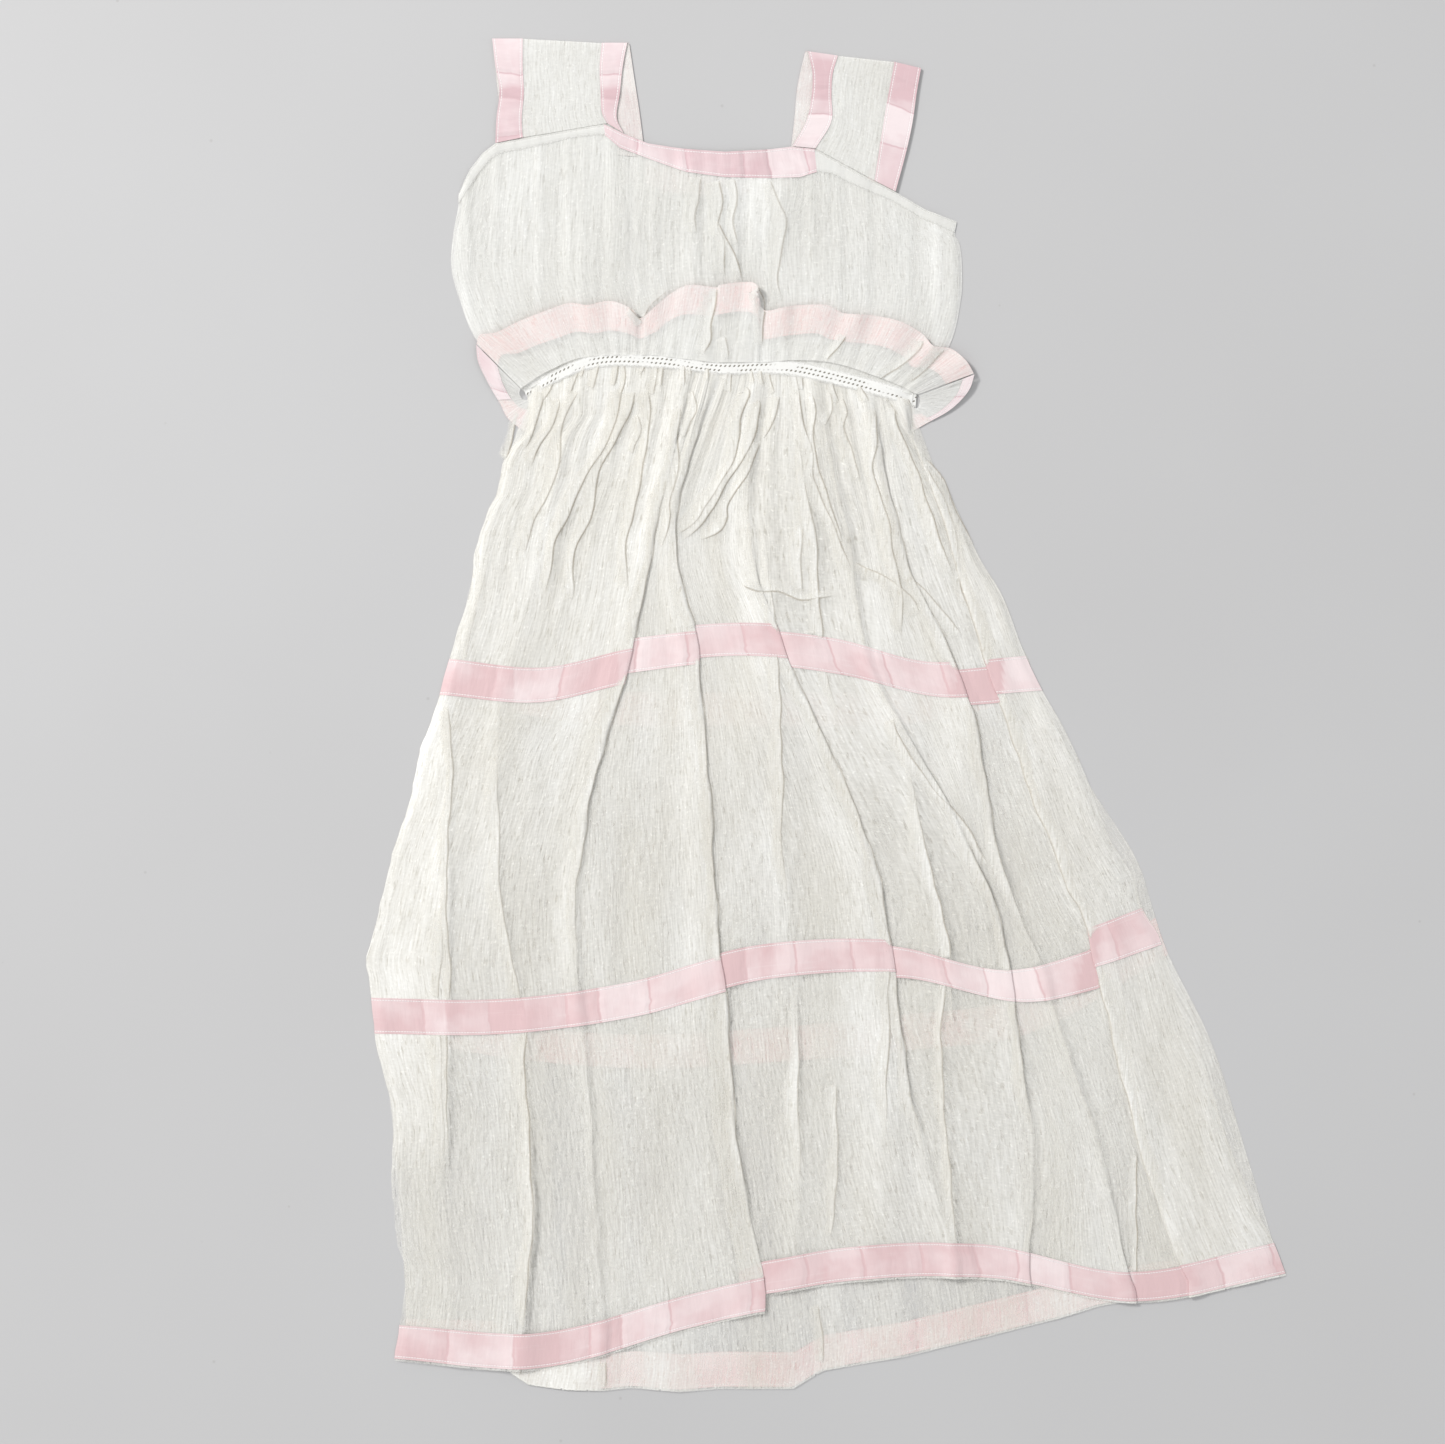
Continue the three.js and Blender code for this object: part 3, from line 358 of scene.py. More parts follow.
stitch.links.new(maths(stitch, "MULTIPLY", on_line, dash), so["Thread"])
stitch.links.new(remap(stitch, off_line, 0.0, 0.0016, 1.0, 0.0), so["Pucker"])
print("stitch group nodes:", len(stitch.nodes))


# %% Pressed folds of ribbon
pressed, pi, po = group_tree(
    "pressed_folds",
    [("Ribbon", "NodeSocketVector", None), ("Folds", "NodeSocketFloat", 18.0),
     ("Slant", "NodeSocketFloat", 0.12)],
    [("Tone", "NodeSocketFloat"), ("Line", "NodeSocketFloat"), ("Height", "NodeSocketFloat")],
)
split = node(pressed, "ShaderNodeSeparateXYZ", {0: pi["Ribbon"]}).outputs
wave = stretched_noise(pressed, pi["Ribbon"], 30, 60, 2.0, 0.5)
slanted = maths(pressed, "ADD", split[0], maths(pressed, "MULTIPLY", split[1], maths(pressed, "MULTIPLY",
                maths(pressed, "SUBTRACT", wave, 0.5), maths(pressed, "MULTIPLY", pi["Slant"], 4.0))))
cells = maths(pressed, "MULTIPLY", slanted, pi["Folds"])
block_tone = node(pressed, "ShaderNodeTexVoronoi", {"W": cells, "Scale": 1.0}, voronoi_dimensions="1D")
to_edge = node(pressed, "ShaderNodeTexVoronoi", {"W": cells, "Scale": 1.0}, voronoi_dimensions="1D",
               feature="DISTANCE_TO_EDGE").outputs["Distance"]
tone = node(pressed, "ShaderNodeSeparateColor", {0: block_tone.outputs["Color"]}).outputs[0]
pressed.links.new(tone, po["Tone"])
# Line: a painted shade along each pressed fold line
pressed.links.new(remap(pressed, to_edge, 0.0, 0.03, 1.0, 0.0), po["Line"])
pressed.links.new(remap(pressed, to_edge, 0.0, 0.1), po["Height"])
print("pressed folds group nodes:", len(pressed.nodes))


# %% Ribbon finish
def ribbon_finish(name, pale, deep, bias=0.5, folds=18.0):
    material, tree, shader = new_material(name)
    ribbon = node(tree, "ShaderNodeAttribute", attribute_name="ribbon").outputs["Vector"]
    wear = node(tree, "ShaderNodeAttribute", attribute_name="deep").outputs["Vector"]
    deeper = node(tree, "ShaderNodeSeparateXYZ", {0: wear}).outputs[0]
    rows = use_group(tree, stitch, {"Ribbon": ribbon})
    marks = use_group(tree, pressed, {"Ribbon": ribbon, "Folds": folds})
    fade = stretched_noise(tree, ribbon, 22, 30, 3.0, 0.55)
    creases = stretched_noise(tree, ribbon, 95, 22, 3.0, 0.6)
    ribs = stretched_noise(tree, ribbon, 1500, 60, 1.0, 0.5)
    streak = stretched_noise(tree, ribbon, 12, 260, 3.0, 0.7)
    # deeper pink: the ribbon's own fading, and painted shade along fold lines and in the pleat-valley zones
    depth = added(tree, [(remap(tree, fade, bias - 0.12, bias + 0.2), -0.25, 0.6), (marks["Tone"], 0.3, 0.7),
                         (deeper, 0.0, 0.6), (marks["Line"], 0.0, 0.9)])
    pink = blend_colour(tree, maths(tree, "ADD", depth, 0.0, clamp=True), (*pale, 1), (*deep, 1))
    pink = blend_colour(tree, remap(tree, streak, 0.6, 0.8, 0.0, 0.3), pink, (0.82, 0.73, 0.71, 1))
    pink = blend_colour(tree, maths(tree, "MULTIPLY", rows["Thread"], 0.85), pink, (0.90, 0.85, 0.83, 1))
    tree.links.new(pink, shader.inputs["Base Color"])
    tree.links.new(remap(tree, fade, 0.3, 0.7, 0.40, 0.55), shader.inputs["Roughness"])
    height = added(tree, [(creases, 0.0, 0.6), (ribs, 0.0, 0.03), (marks["Height"], 0.0, 0.3),
                          (rows["Pucker"], 0.0, -0.1), (rows["Thread"], 0.0, 0.15)])
    bump = node(tree, "ShaderNodeBump", {"Strength": 1.0, "Distance": 0.0016, "Height": height}).outputs[0]
    tree.links.new(bump, shader.inputs["Normal"])
    shader.inputs["Specular IOR Level"].default_value = 0.4
    shader.inputs["Sheen Weight"].default_value = 0.1
    shader.inputs["Anisotropic"].default_value = 0.3
    return material


skirt_ribbon = ribbon_finish("ribbon_skirt", (0.81, 0.69, 0.68), (0.67, 0.47, 0.47))
top_ribbon = ribbon_finish("ribbon_top", (0.80, 0.69, 0.685), (0.64, 0.45, 0.465), 0.47, 24.0)
ruffle_ribbon = ribbon_finish("ribbon_ruffle", (0.88, 0.60, 0.60), (0.82, 0.52, 0.52))
print("ribbon finishes: 3")

# %% [markdown]
# ## White trimmings
# The armholes are bound with a narrow white tape, and the waistband is a strip of insertion lace: groups of
# small round holes between close white bars. The holes are about 1.5 mm, so they aren't cut in the mesh: each
# is a dark spot of painted shade, a little sunk, in the finish.


# %% Binding and lace finishes
def soft_edges(tree, ribbon, nap, reach, most):
    """Cover of a strip whose edges are thin and a little frayed, over this reach in metres."""
    parts = node(tree, "ShaderNodeSeparateXYZ", {0: ribbon}).outputs
    from_edge = maths(tree, "MINIMUM", parts[1], maths(tree, "SUBTRACT", parts[2], parts[1]))
    frayed = maths(tree, "ADD", from_edge, maths(tree, "MULTIPLY", maths(tree, "SUBTRACT", nap, 0.5), reach))
    return remap(tree, frayed, 0.0, reach, 0.0, most)


def binding_finish(name):
    material, tree, shader = new_material(name)
    ribbon = node(tree, "ShaderNodeAttribute", attribute_name="ribbon").outputs["Vector"]
    rows = use_group(tree, stitch, {"Ribbon": ribbon, "Inset": 0.0018, "Pitch": 0.002})
    nap = stretched_noise(tree, ribbon, 420, 60, 3.0, 0.7)
    pucker = stretched_noise(tree, ribbon, 110, 30, 2.0, 0.5)
    cotton = blend_colour(tree, nap, (0.80, 0.785, 0.735, 1), (0.91, 0.90, 0.865, 1))
    tree.links.new(cotton, shader.inputs["Base Color"])
    tree.links.new(soft_edges(tree, ribbon, nap, 0.0022, 0.68), shader.inputs["Alpha"])
    height = maths(tree, "ADD", maths(tree, "MULTIPLY", nap, 0.3), pucker)
    height = maths(tree, "SUBTRACT", height, maths(tree, "MULTIPLY", rows["Pucker"], 0.4))
    bump = node(tree, "ShaderNodeBump", {"Strength": 0.8, "Distance": 0.0009, "Height": height}).outputs[0]
    tree.links.new(bump, shader.inputs["Normal"])
    shader.inputs["Roughness"].default_value = 0.85
    shader.inputs["Sheen Weight"].default_value = 0.1
    return material


def lace_finish(name):
    material, tree, shader = new_material(name)
    ribbon = node(tree, "ShaderNodeAttribute", attribute_name="ribbon").outputs["Vector"]
    parts = node(tree, "ShaderNodeSeparateXYZ", {0: ribbon}).outputs
    pitch = 0.0043
    middle = maths(tree, "MULTIPLY", parts[2], 0.5)
    row = maths(tree, "DIVIDE", maths(tree, "SUBTRACT", parts[1], middle), pitch)
    along = maths(tree, "DIVIDE", parts[0], pitch)
    level = maths(tree, "FLOOR", row)
    shift = maths(tree, "MULTIPLY", level, 0.5)
    dx = maths(tree, "SUBTRACT", maths(tree, "FRACT", maths(tree, "ADD", along, shift)), 0.5)
    dy = maths(tree, "SUBTRACT", maths(tree, "SUBTRACT", row, level), 0.5)
    lean = maths(tree, "ADD", dy, maths(tree, "MULTIPLY", dx, 0.5))
    away = maths(tree, "SQRT", maths(tree, "ADD", maths(tree, "MULTIPLY", dx, dx),
                                     maths(tree, "MULTIPLY", maths(tree, "MULTIPLY", lean, lean), 2.4)))
    hole_shade = remap(tree, away, 0.22, 0.32, 1.0, 0.0)
    inside = remap(tree, maths(tree, "ABSOLUTE", row), 0.95, 1.0, 1.0, 0.0)
    uneven = stretched_noise(tree, ribbon, 38, 90, 1.0, 0.5)
    in_group = remap(tree, uneven, 0.42, 0.47)
    hole_shade = maths(tree, "MULTIPLY", maths(tree, "MULTIPLY", hole_shade, inside), in_group)
    nap = stretched_noise(tree, ribbon, 420, 420, 3.0, 0.6)
    cotton = blend_colour(tree, nap, (0.83, 0.815, 0.77, 1), (0.94, 0.93, 0.90, 1))
    # painted shade: each hole is painted a dark brown-grey instead of being cut
    tree.links.new(blend_colour(tree, hole_shade, cotton, (0.22, 0.20, 0.16, 1)), shader.inputs["Base Color"])
    tree.links.new(soft_edges(tree, ribbon, nap, 0.003, 0.88), shader.inputs["Alpha"])
    height = maths(tree, "SUBTRACT", maths(tree, "MULTIPLY", nap, 0.5), maths(tree, "MULTIPLY", hole_shade, 0.6))
    bump = node(tree, "ShaderNodeBump", {"Strength": 0.6, "Distance": 0.0006, "Height": height}).outputs[0]
    tree.links.new(bump, shader.inputs["Normal"])
    shader.inputs["Roughness"].default_value = 0.85
    shader.inputs["Sheen Weight"].default_value = 0.1
    return material


white_binding = binding_finish("white_binding")
white_lace = lace_finish("white_lace")
print("white finishes: 2")

# %% [markdown]
# ## Curves and uneven numbers
# The pieces are described by a few sections with named columns. A smooth curve through a column's values
# gives every place between them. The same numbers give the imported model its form, so the cloth sits where its
# solid is.


# %% Curve helper
def curve(knots, values, at):
    """Smooth curve through values at the rising positions knots, read at one or many positions."""
    knots, values = np.asarray(knots, float), np.asarray(values, float)
    at = np.asarray(at, float)
    last = len(knots) - 1
    k = np.clip(np.searchsorted(knots, at, side="right") - 1, 0, last - 1)
    before = np.maximum(np.arange(last + 1) - 1, 0)
    after = np.minimum(np.arange(last + 1) + 1, last)
    run = knots[after] - knots[before]
    slope = (values[after] - values[before]) / run.reshape((-1,) + (1,) * (values.ndim - 1))
    width = knots[k + 1] - knots[k]
    t = (at - knots[k]) / width
    extra = np.shape(at) + (1,) * (values.ndim - 1)
    width, t = np.reshape(width, extra), np.reshape(t, extra)
    return ((2 * t**3 - 3 * t**2 + 1) * values[k] + (t**3 - 2 * t**2 + t) * slope[k] * width
            + (3 * t**2 - 2 * t**3) * values[k + 1] + (t**3 - t**2) * slope[k + 1] * width)


def ease(value):
    value = np.clip(value, 0, 1)
    return value * value * (3 - 2 * value)


def mix(a, b, share):
    return a + (b - a) * share


def uneven_share(i):
    """Uneven share for gather number i, so that no two neighbours are alike."""
    return 0.75 + 0.25 * np.sin(2.4 * i + 1.7 * np.sin(0.9 * i))


def named_rows(columns, *rows):
    """Rows as dictionaries, with the columns' names in one text. A last column may be left out of a row."""
    names = columns.split()
    return [dict(zip(names, row)) for row in rows]


def ripples(a, b, seed, count=9):
    """Smooth uneven waves of two coordinates, from -1 to 1 or so: a sum of sines with seeded directions."""
    draw = np.random.default_rng(seed)
    total = np.zeros(np.broadcast(a, b).shape)
    for _ in range(count):
        fa, fb = draw.normal(0, 1, 2)
        total += np.sin(fa * a + fb * b + draw.uniform(0, 2 * math.pi))
    return total / math.sqrt(count)


print("middle of a curve through 0, 1, 4:", float(curve([0, 1, 2], [0, 1, 4], 1.5)))

# %% [markdown]
# ## From a grid of points to cloth
# A cloth is a grid of points: rows down it, columns across it. Its shell has one face a little above the
# points and one a little below, closed by a narrow rim, so it is a real thin solid and not a paper-thin
# surface. The same routine serves gauze, ribbon, tape and lace.

# %% Shell builder
CLOTH = 0.35  # thickness of the gauze, millimetres
RIBBON = 0.22
ON_CLOTH = 0.06  # air between a ribbon and its cloth
SLIM = 0.6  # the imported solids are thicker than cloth, so their heights are drawn in by this much
made_pieces = {}


def normals_of(points):
    across = np.gradient(points, axis=1)
    up = -np.gradient(points, axis=0)
    normal = np.cross(across, up)
    return normal / np.maximum(np.linalg.norm(normal, axis=2, keepdims=True), 1e-9)


def shell_faces(rows, columns):
    def at(face, j, i):
        return face * rows * columns + j * columns + i

    j, i = np.meshgrid(np.arange(rows - 1), np.arange(columns - 1), indexing="ij")
    j, i = j.ravel(), i.ravel()
    top = np.stack([at(0, j, i), at(0, j + 1, i), at(0, j + 1, i + 1), at(0, j, i + 1)], 1)
    under = np.stack([at(1, j, i), at(1, j, i + 1), at(1, j + 1, i + 1), at(1, j + 1, i)], 1)
    i, j = np.arange(columns - 1), np.arange(rows - 1)
    e, f = rows - 1, columns - 1
    rims = [
        np.stack([at(0, 0, i), at(0, 0, i + 1), at(1, 0, i + 1), at(1, 0, i)], 1),
        np.stack([at(0, e, i + 1), at(0, e, i), at(1, e, i), at(1, e, i + 1)], 1),
        np.stack([at(0, j + 1, 0), at(0, j, 0), at(1, j, 0), at(1, j + 1, 0)], 1),
        np.stack([at(0, j, f), at(0, j + 1, f), at(1, j + 1, f), at(1, j, f)], 1),
    ]
    return np.concatenate([top, under, *rims])


def quads(name, vertices, faces, attributes):
    """Mesh object from vertices in millimetres and four-cornered faces."""
    mesh = bpy.data.meshes.new(name)
    mesh.vertices.add(len(vertices))
    mesh.vertices.foreach_set("co", (np.asarray(vertices) / 1000).astype(np.float32).ravel())
    mesh.loops.add(faces.size)
    mesh.loops.foreach_set("vertex_index", faces.astype(np.int32).ravel())
    mesh.polygons.add(len(faces))
    mesh.polygons.foreach_set("loop_start", np.arange(0, faces.size, 4, dtype=np.int32))
    mesh.update(calc_edges=True)
    mesh.polygons.foreach_set("use_smooth", np.ones(len(faces), bool))
    for label, data in attributes.items():
        layer = mesh.attributes.new(label, "FLOAT_VECTOR", "POINT")
        layer.data.foreach_set("vector", np.asarray(data, np.float32).ravel())
    mesh.set_sharp_from_angle(angle=math.radians(70))
    mesh.validate()
    made = bpy.data.objects.new(name, mesh)
    scene.collection.objects.link(made)
    return made


def cloth_piece(name, grids, near, far, material, slot, nodes):
    """Closed thin shells between two distances from grids, as one piece that rides on the dress."""
    vertices, faces, data, count = [], [], {}, 0
    for points, attributes in grids:
        normal = normals_of(points)
        both = np.concatenate([(points + normal * far).reshape(-1, 3),
                               (points + normal * near).reshape(-1, 3)])
        both[:, 2] = np.maximum(both[:, 2], 0.02)
        faces.append(shell_faces(*points.shape[:2]) + count)
        vertices.append(both)
        count += len(both)
        for label, values in attributes.items():
            data.setdefault(label, []).append(np.tile(np.reshape(values, (-1, 3)), (2, 1)))
    made = quads(name, np.concatenate(vertices), np.concatenate(faces),
                 {label: np.concatenate(values) for label, values in data.items()})
    made.data.materials.append(material)
    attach(made, "root")
    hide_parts(*nodes)
    made_pieces[name] = made
    print(f"{name}: {len(made.data.polygons) * 2} triangles")
    return made


def lengths_across(points):
    """Distance along each row of a grid, from its left end, in metres."""
    steps = np.linalg.norm(np.diff(points, axis=1), axis=2)
    return np.concatenate([np.zeros((len(points), 1)), np.cumsum(steps, axis=1)], axis=1) / 1000


def gauze_grid(points, down, number, raw=None, layers=0.0, shade=0.0):
    """A grid with its weave's coordinates. The columns keep one value all the way down, as threads do. raw
    is the distance to the cloth's raw edge in millimetres, layers says where it lies double, and shade where
    it is creased in and looks darker."""
    across = lengths_across(points).max(axis=0)
    cloth = np.stack(np.broadcast_arrays(across[None, :], np.asarray(down)[:, None] / 1000, float(number)),
                     axis=2)
    raw = np.full(points.shape[:2], 50.0) if raw is None else raw
    edging = np.stack(np.broadcast_arrays(raw / 1000, layers, shade), axis=2)
    return points, {"cloth": cloth, "edging": edging}


def in_zones(values, zones):
    """Share of the zones (from, to, share) at each value, with narrow soft ends."""
    total = np.zeros(np.shape(values))
    for start, end, share in zones:
        total = total + share * ease((values - start) / 2) * ease((end - values) / 2)
    return total


def ribbon_grid(points, wide_way="rows", zones=(), axis=0):
    """A grid with a ribbon's own coordinates in metres: along it, across it, and its width. zones are
    stretches of deeper pink, in photo pixels across (axis 0) or down (axis 1) the picture."""
    if wide_way == "columns":
        _, data = ribbon_grid(np.swapaxes(points, 0, 1), zones=zones, axis=axis)
        return points, {label: np.swapaxes(values, 0, 1) for label, values in data.items()}
    along = np.broadcast_to(lengths_across(points).mean(axis=0)[None, :], points.shape[:2])
    steps = np.linalg.norm(np.diff(points, axis=0), axis=2)
    across = np.concatenate([np.zeros((1, points.shape[1])), np.cumsum(steps, axis=0)]) / 1000
    if axis == 0:
        pixel = points[..., 0] / PIXEL_MM + ORIGIN_PIXEL[0]
    else:
        pixel = ORIGIN_PIXEL[1] - points[..., 1] / PIXEL_MM
    deep = np.stack([in_zones(pixel, zones), 0 * pixel, 0 * pixel], axis=2)
    place = np.stack([along, across, np.broadcast_to(across[-1:], across.shape)], axis=2)
    return points, {"ribbon": place, "deep": deep}


def on_cloth(name, grids, material, slot, nodes, side=1, thickness=RIBBON):
    """Ribbon or tape on the upper (side 1) or under (side -1) face of cloth grids."""
    near = CLOTH / 2 + ON_CLOTH
    bounds = (near, near + thickness) if side > 0 else (-near - thickness, -near)
    return cloth_piece(name, grids, *bounds, material, slot, nodes)


print("cloth", CLOTH, "mm, ribbon", RIBBON, "mm")

# %% [markdown]
# ## Creases laid one by one
# The larger creases are where the photo shows them: lines through a few of its pixels, each with a height and
# a width. A point of cloth near such a line is lifted or pressed down softly. Heights below zero are troughs.

# %% Crease tables
FRONT_CREASES = named_rows(
    "high wide line bright",
    (1.9, 4.5, [(624, 384), (613, 430), (585, 478), (572, 510), (554, 543), (550, 575), (539, 614)]),
    (1.9, 4.5, [(636, 386), (630, 412), (600, 471), (593, 510), (574, 553), (574, 592), (563, 620)]),
    (1.5, 5, [(648, 386), (649, 420), (643, 470), (633, 513), (626, 545), (630, 608)]),
    (1.0, 3, [(637, 415), (640, 431), (635, 445), (632, 458)]),
    (1.4, 5, [(681, 405), (678, 440), (678, 470), (669, 501), (670, 522), (657, 560)]),
    (1.1, 4, [(692, 390), (697, 410), (690, 423), (681, 443)]),
    (2.0, 5, [(741, 384), (749, 394), (739, 419), (739, 440), (731, 467), (708, 501), (694, 523),
              (663, 543)]),
    (2.0, 4.5, [(757, 396), (759, 410), (750, 449), (729, 479), (711, 510), (700, 527), (672, 549)]),
    (1.6, 4, [(761, 440), (747, 476), (727, 504), (726, 519), (718, 532), (690, 544)]),
    (1.3, 4, [(780, 396), (776, 415), (762, 442)]),
    (2.0, 5, [(799, 386), (801, 419), (813, 455), (815, 482), (832, 525), (841, 546), (859, 587)]),
    (1.5, 4, [(811, 390), (814, 413), (813, 437), (819, 470), (834, 520), (850, 558)]),
    (1.0, 3, [(829, 392), (831, 410), (824, 430)]),
    (1.1, 4, [(841, 396), (847, 413), (844, 428), (851, 452), (862, 490)]),
    (1.6, 5, [(875, 402), (876, 440), (872, 470), (887, 516), (892, 553), (902, 591), (902, 610),
              (900, 657)]),
    (1.6, 4.5, [(893, 402), (897, 428), (917, 470), (925, 498), (941, 545), (960, 590)]),
    (1.5, 4, [(923, 458), (941, 476), (951, 498), (962, 525), (978, 552)]),
    (-1.8, 3.5, [(924, 464), (937, 486), (948, 510), (957, 549), (961, 588), (972, 620)]),
    (1.2, 5, [(853, 561), (881, 576), (897, 586), (914, 603), (923, 622)]),
    (1.2, 4, [(905, 573), (929, 597), (948, 618), (966, 640)]),
    (1.7, 3.5, [(740, 584), (758, 590), (778, 592), (801, 600), (820, 598), (842, 593)], 0.3),
    (1.0, 4, [(802, 525), (801, 561), (801, 598)]),
    (1.0, 3, [(814, 629), (814, 664)]),
    (1.4, 4, [(545, 392), (539, 413), (533, 430), (523, 455)]),
    (1.5, 4, [(560, 398), (553, 425), (541, 444), (530, 472)]),
    (1.2, 5, [(580, 388), (574, 400), (563, 425), (560, 455), (552, 485), (533, 526), (520, 570)]),
    (-1.7, 3, [(518, 410), (515, 428), (509, 449), (504, 464)]),
    (1.4, 4, [(892, 713), (898, 737), (916, 766), (939, 795), (963, 822), (983, 857), (1001, 875)]),
    (1.2, 4, [(945, 946), (945, 989), (940, 1043), (947, 1150), (956, 1243), (960, 1275)]),
    (0.9, 4, [(768, 949), (799, 1079), (797, 1168), (794, 1250)]),
    (1.0, 4, [(836, 1079), (836, 1186), (828, 1254)]),
    (0.9, 3.5, [(883, 1150), (883, 1243)]),
    (1.7, 5, [(530, 990), (525, 1060), (530, 1150), (532, 1230), (520, 1360)]),
    (-1.8, 3, [(1135, 1150), (1136, 1204), (1135, 1271), (1133, 1304)]),
    (1.2, 3.5, [(448, 690), (452, 780), (446, 880), (450, 980), (446, 1080), (452, 1200)]),
    (0.9, 7, [(600, 790), (590, 870), (592, 940)]),
    (0.9, 7, [(540, 720), (530, 800), (520, 900), (512, 985)]),
    (0.9, 6, [(760, 690), (775, 760), (770, 840), (780, 930)]),
    (0.8, 6, [(640, 1060), (655, 1130), (640, 1190)]),
    (0.8, 6, [(700, 1130), (680, 1190), (690, 1240)]),
)
BODICE_CREASES = named_rows(
    "high wide line",
    (1.0, 4, [(701, 176), (699, 199), (695, 215), (697, 240)]),
    (1.5, 5, [(719, 177), (722, 202), (717, 228), (724, 246), (724, 286)]),
    (1.8, 4, [(718, 222), (725, 240), (736, 260), (743, 286)]),
    (1.1, 3.5, [(733, 177), (736, 202), (733, 224), (740, 252)]),
    (0.95, 7, [(650, 205), (660, 225), (690, 252), (701, 272), (711, 288)]),
    (1.1, 5, [(768, 177), (781, 208), (785, 224), (780, 256), (778, 282), (784, 310)]),
    (0.7, 5, [(808, 192), (813, 222), (808, 260)]),
    (0.9, 3, [(804, 286), (807, 308)]),
    (0.9, 5, [(860, 240), (862, 276), (868, 290), (864, 310)]),
    (0.9, 5, [(897, 250), (905, 266), (904, 285), (894, 299), (882, 320)]),
    (0.9, 8, [(547, 248), (560, 271), (574, 288), (588, 307)]),
    (0.9, 5, [(496, 158), (499, 182), (503, 222)]),
    (0.7, 5, [(560, 140), (547, 161), (538, 180)]),
    (0.9, 6, [(482, 272), (495, 296), (511, 324)]),
    (0.9, 4, [(637, 280), (648, 308)]),
    (1.0, 3, [(834, 58), (846, 90), (840, 120), (836, 150)]),
)
RUFFLE_CREASES = named_rows(
    "high wide line",
    (2.0, 5, [(717, 288), (716, 305), (711, 324), (711, 340), (704, 352), (703, 362)]),
    (2.0, 4, [(757, 286), (764, 301), (762, 327), (761, 352)]),
    (0.9, 3, [(792, 312), (781, 324), (767, 333)]),
    (1.0, 3, [(724, 336), (728, 361)]),
    (1.8, 4, [(846, 336), (836, 350), (824, 364)]),
    (1.6, 4, [(628, 308), (636, 316), (644, 324)]),
    (1.4, 4, [(668, 290), (650, 306), (641, 322)]),
    (0.9, 4, [(612, 320), (622, 336), (626, 350)]),
    (1.3, 4, [(923, 340), (917, 353), (897, 369), (872, 384)]),
    (1.2, 4, [(945, 350), (930, 366), (905, 386)]),
    (0.8, 4, [(560, 322), (558, 340), (562, 356)]),
    (0.9, 4, [(880, 330), (868, 348), (850, 366)]),
)


def crease_shape(x, y, table):
    """Soft lift in millimetres that the table's creases give to cloth at x, y."""
    lift = np.zeros(x.shape)
    for crease in table:
        line = np.array([spot(*p) for p in crease["line"]])
        fine = curve(np.arange(len(line)), line, np.linspace(0, len(line) - 1, 6 * len(line)))
        high, wide = crease["high"], 1.3 * crease["wide"]
        reach = 2.4 * wide
        near = ((x > fine[:, 0].min() - reach) & (x < fine[:, 0].max() + reach)
                & (y > fine[:, 1].min() - reach) & (y < fine[:, 1].max() + reach))
        if not near.any():
            continue
        away = np.hypot(x[near][:, None] - fine[None, :, 0], y[near][:, None] - fine[None, :, 1])
        share = np.argmin(away, axis=1) / (len(fine) - 1)
        taper = ease(share / 0.15 + 0.1) * ease((1 - share) / 0.25 + 0.1)
        lift[near] += 0.6 * high * taper * np.exp(-((away.min(axis=1) / wide) ** 2))
    return lift


print("creases:", len(FRONT_CREASES) + len(BODICE_CREASES) + len(RUFFLE_CREASES))

# %% [markdown]
# ### Tipped-over creases
# Most creases have tipped over: the cloth lies double beside a crisp, slightly wavy edge, with a thin shadow
# under it. The big grid is too coarse for such an edge, so each gets its own narrow strip of the same gauze.
# On one side the strip melts into the cloth, because its cover fades away, and on the other it ends in the
# fold and its dark foot, a painted shadow in the crevice. The strips are laid on the finished cloth by
# dropping a ray from each of their points.

# %% Fold strips
from mathutils.bvhtree import BVHTree

# across a strip: back from the edge (share of the width) or past it (mm), then height, cover and shade
FOLD_SECTION = named_rows(
    "back past lift layers shade",
    (1.00, 0.0, 0.02, -1.6, 0.0),
    (0.75, 0.0, 0.20, -0.6, 0.0),
    (0.45, 0.0, 0.50, 0.2, 0.0),
    (0.20, 0.0, 0.80, 0.6, 0.0),
    (0.05, 0.0, 1.00, 0.8, 0.0),
    (0.00, 0.1, 0.80, 0.8, 0.7),
    (0.00, 0.5, 0.25, 0.3, 1.0),
    (0.00, 1.1, 0.05, -0.4, 1.0),
    (0.00, 1.9, 0.03, -1.6, 0.6),
)


def column_of(table, key):
    return np.array([row[key] for row in table])


def height_finder(piece):
    """Height of a piece's upper side at places given in millimetres."""
    mesh = piece.data
    tree = BVHTree.FromPolygons([v.co for v in mesh.vertices], [p.vertices for p in mesh.polygons])

    def height(x, y):
        hit = tree.ray_cast((x / 1000, y / 1000, 0.1), (0, 0, -1))[0]
        return hit.z * 1000 if hit else math.nan

    return np.vectorize(height)


def even_line(line, step=2.5):
    """The same line with even short steps, and the distance along it."""
    along = np.concatenate([[0], np.cumsum(np.linalg.norm(np.diff(line, axis=0), axis=1))])
    at = np.linspace(0, along[-1], max(8, int(along[-1] / step)))
    return np.column_stack([np.interp(at, along, line[:, k]) for k in (0, 1)]), at


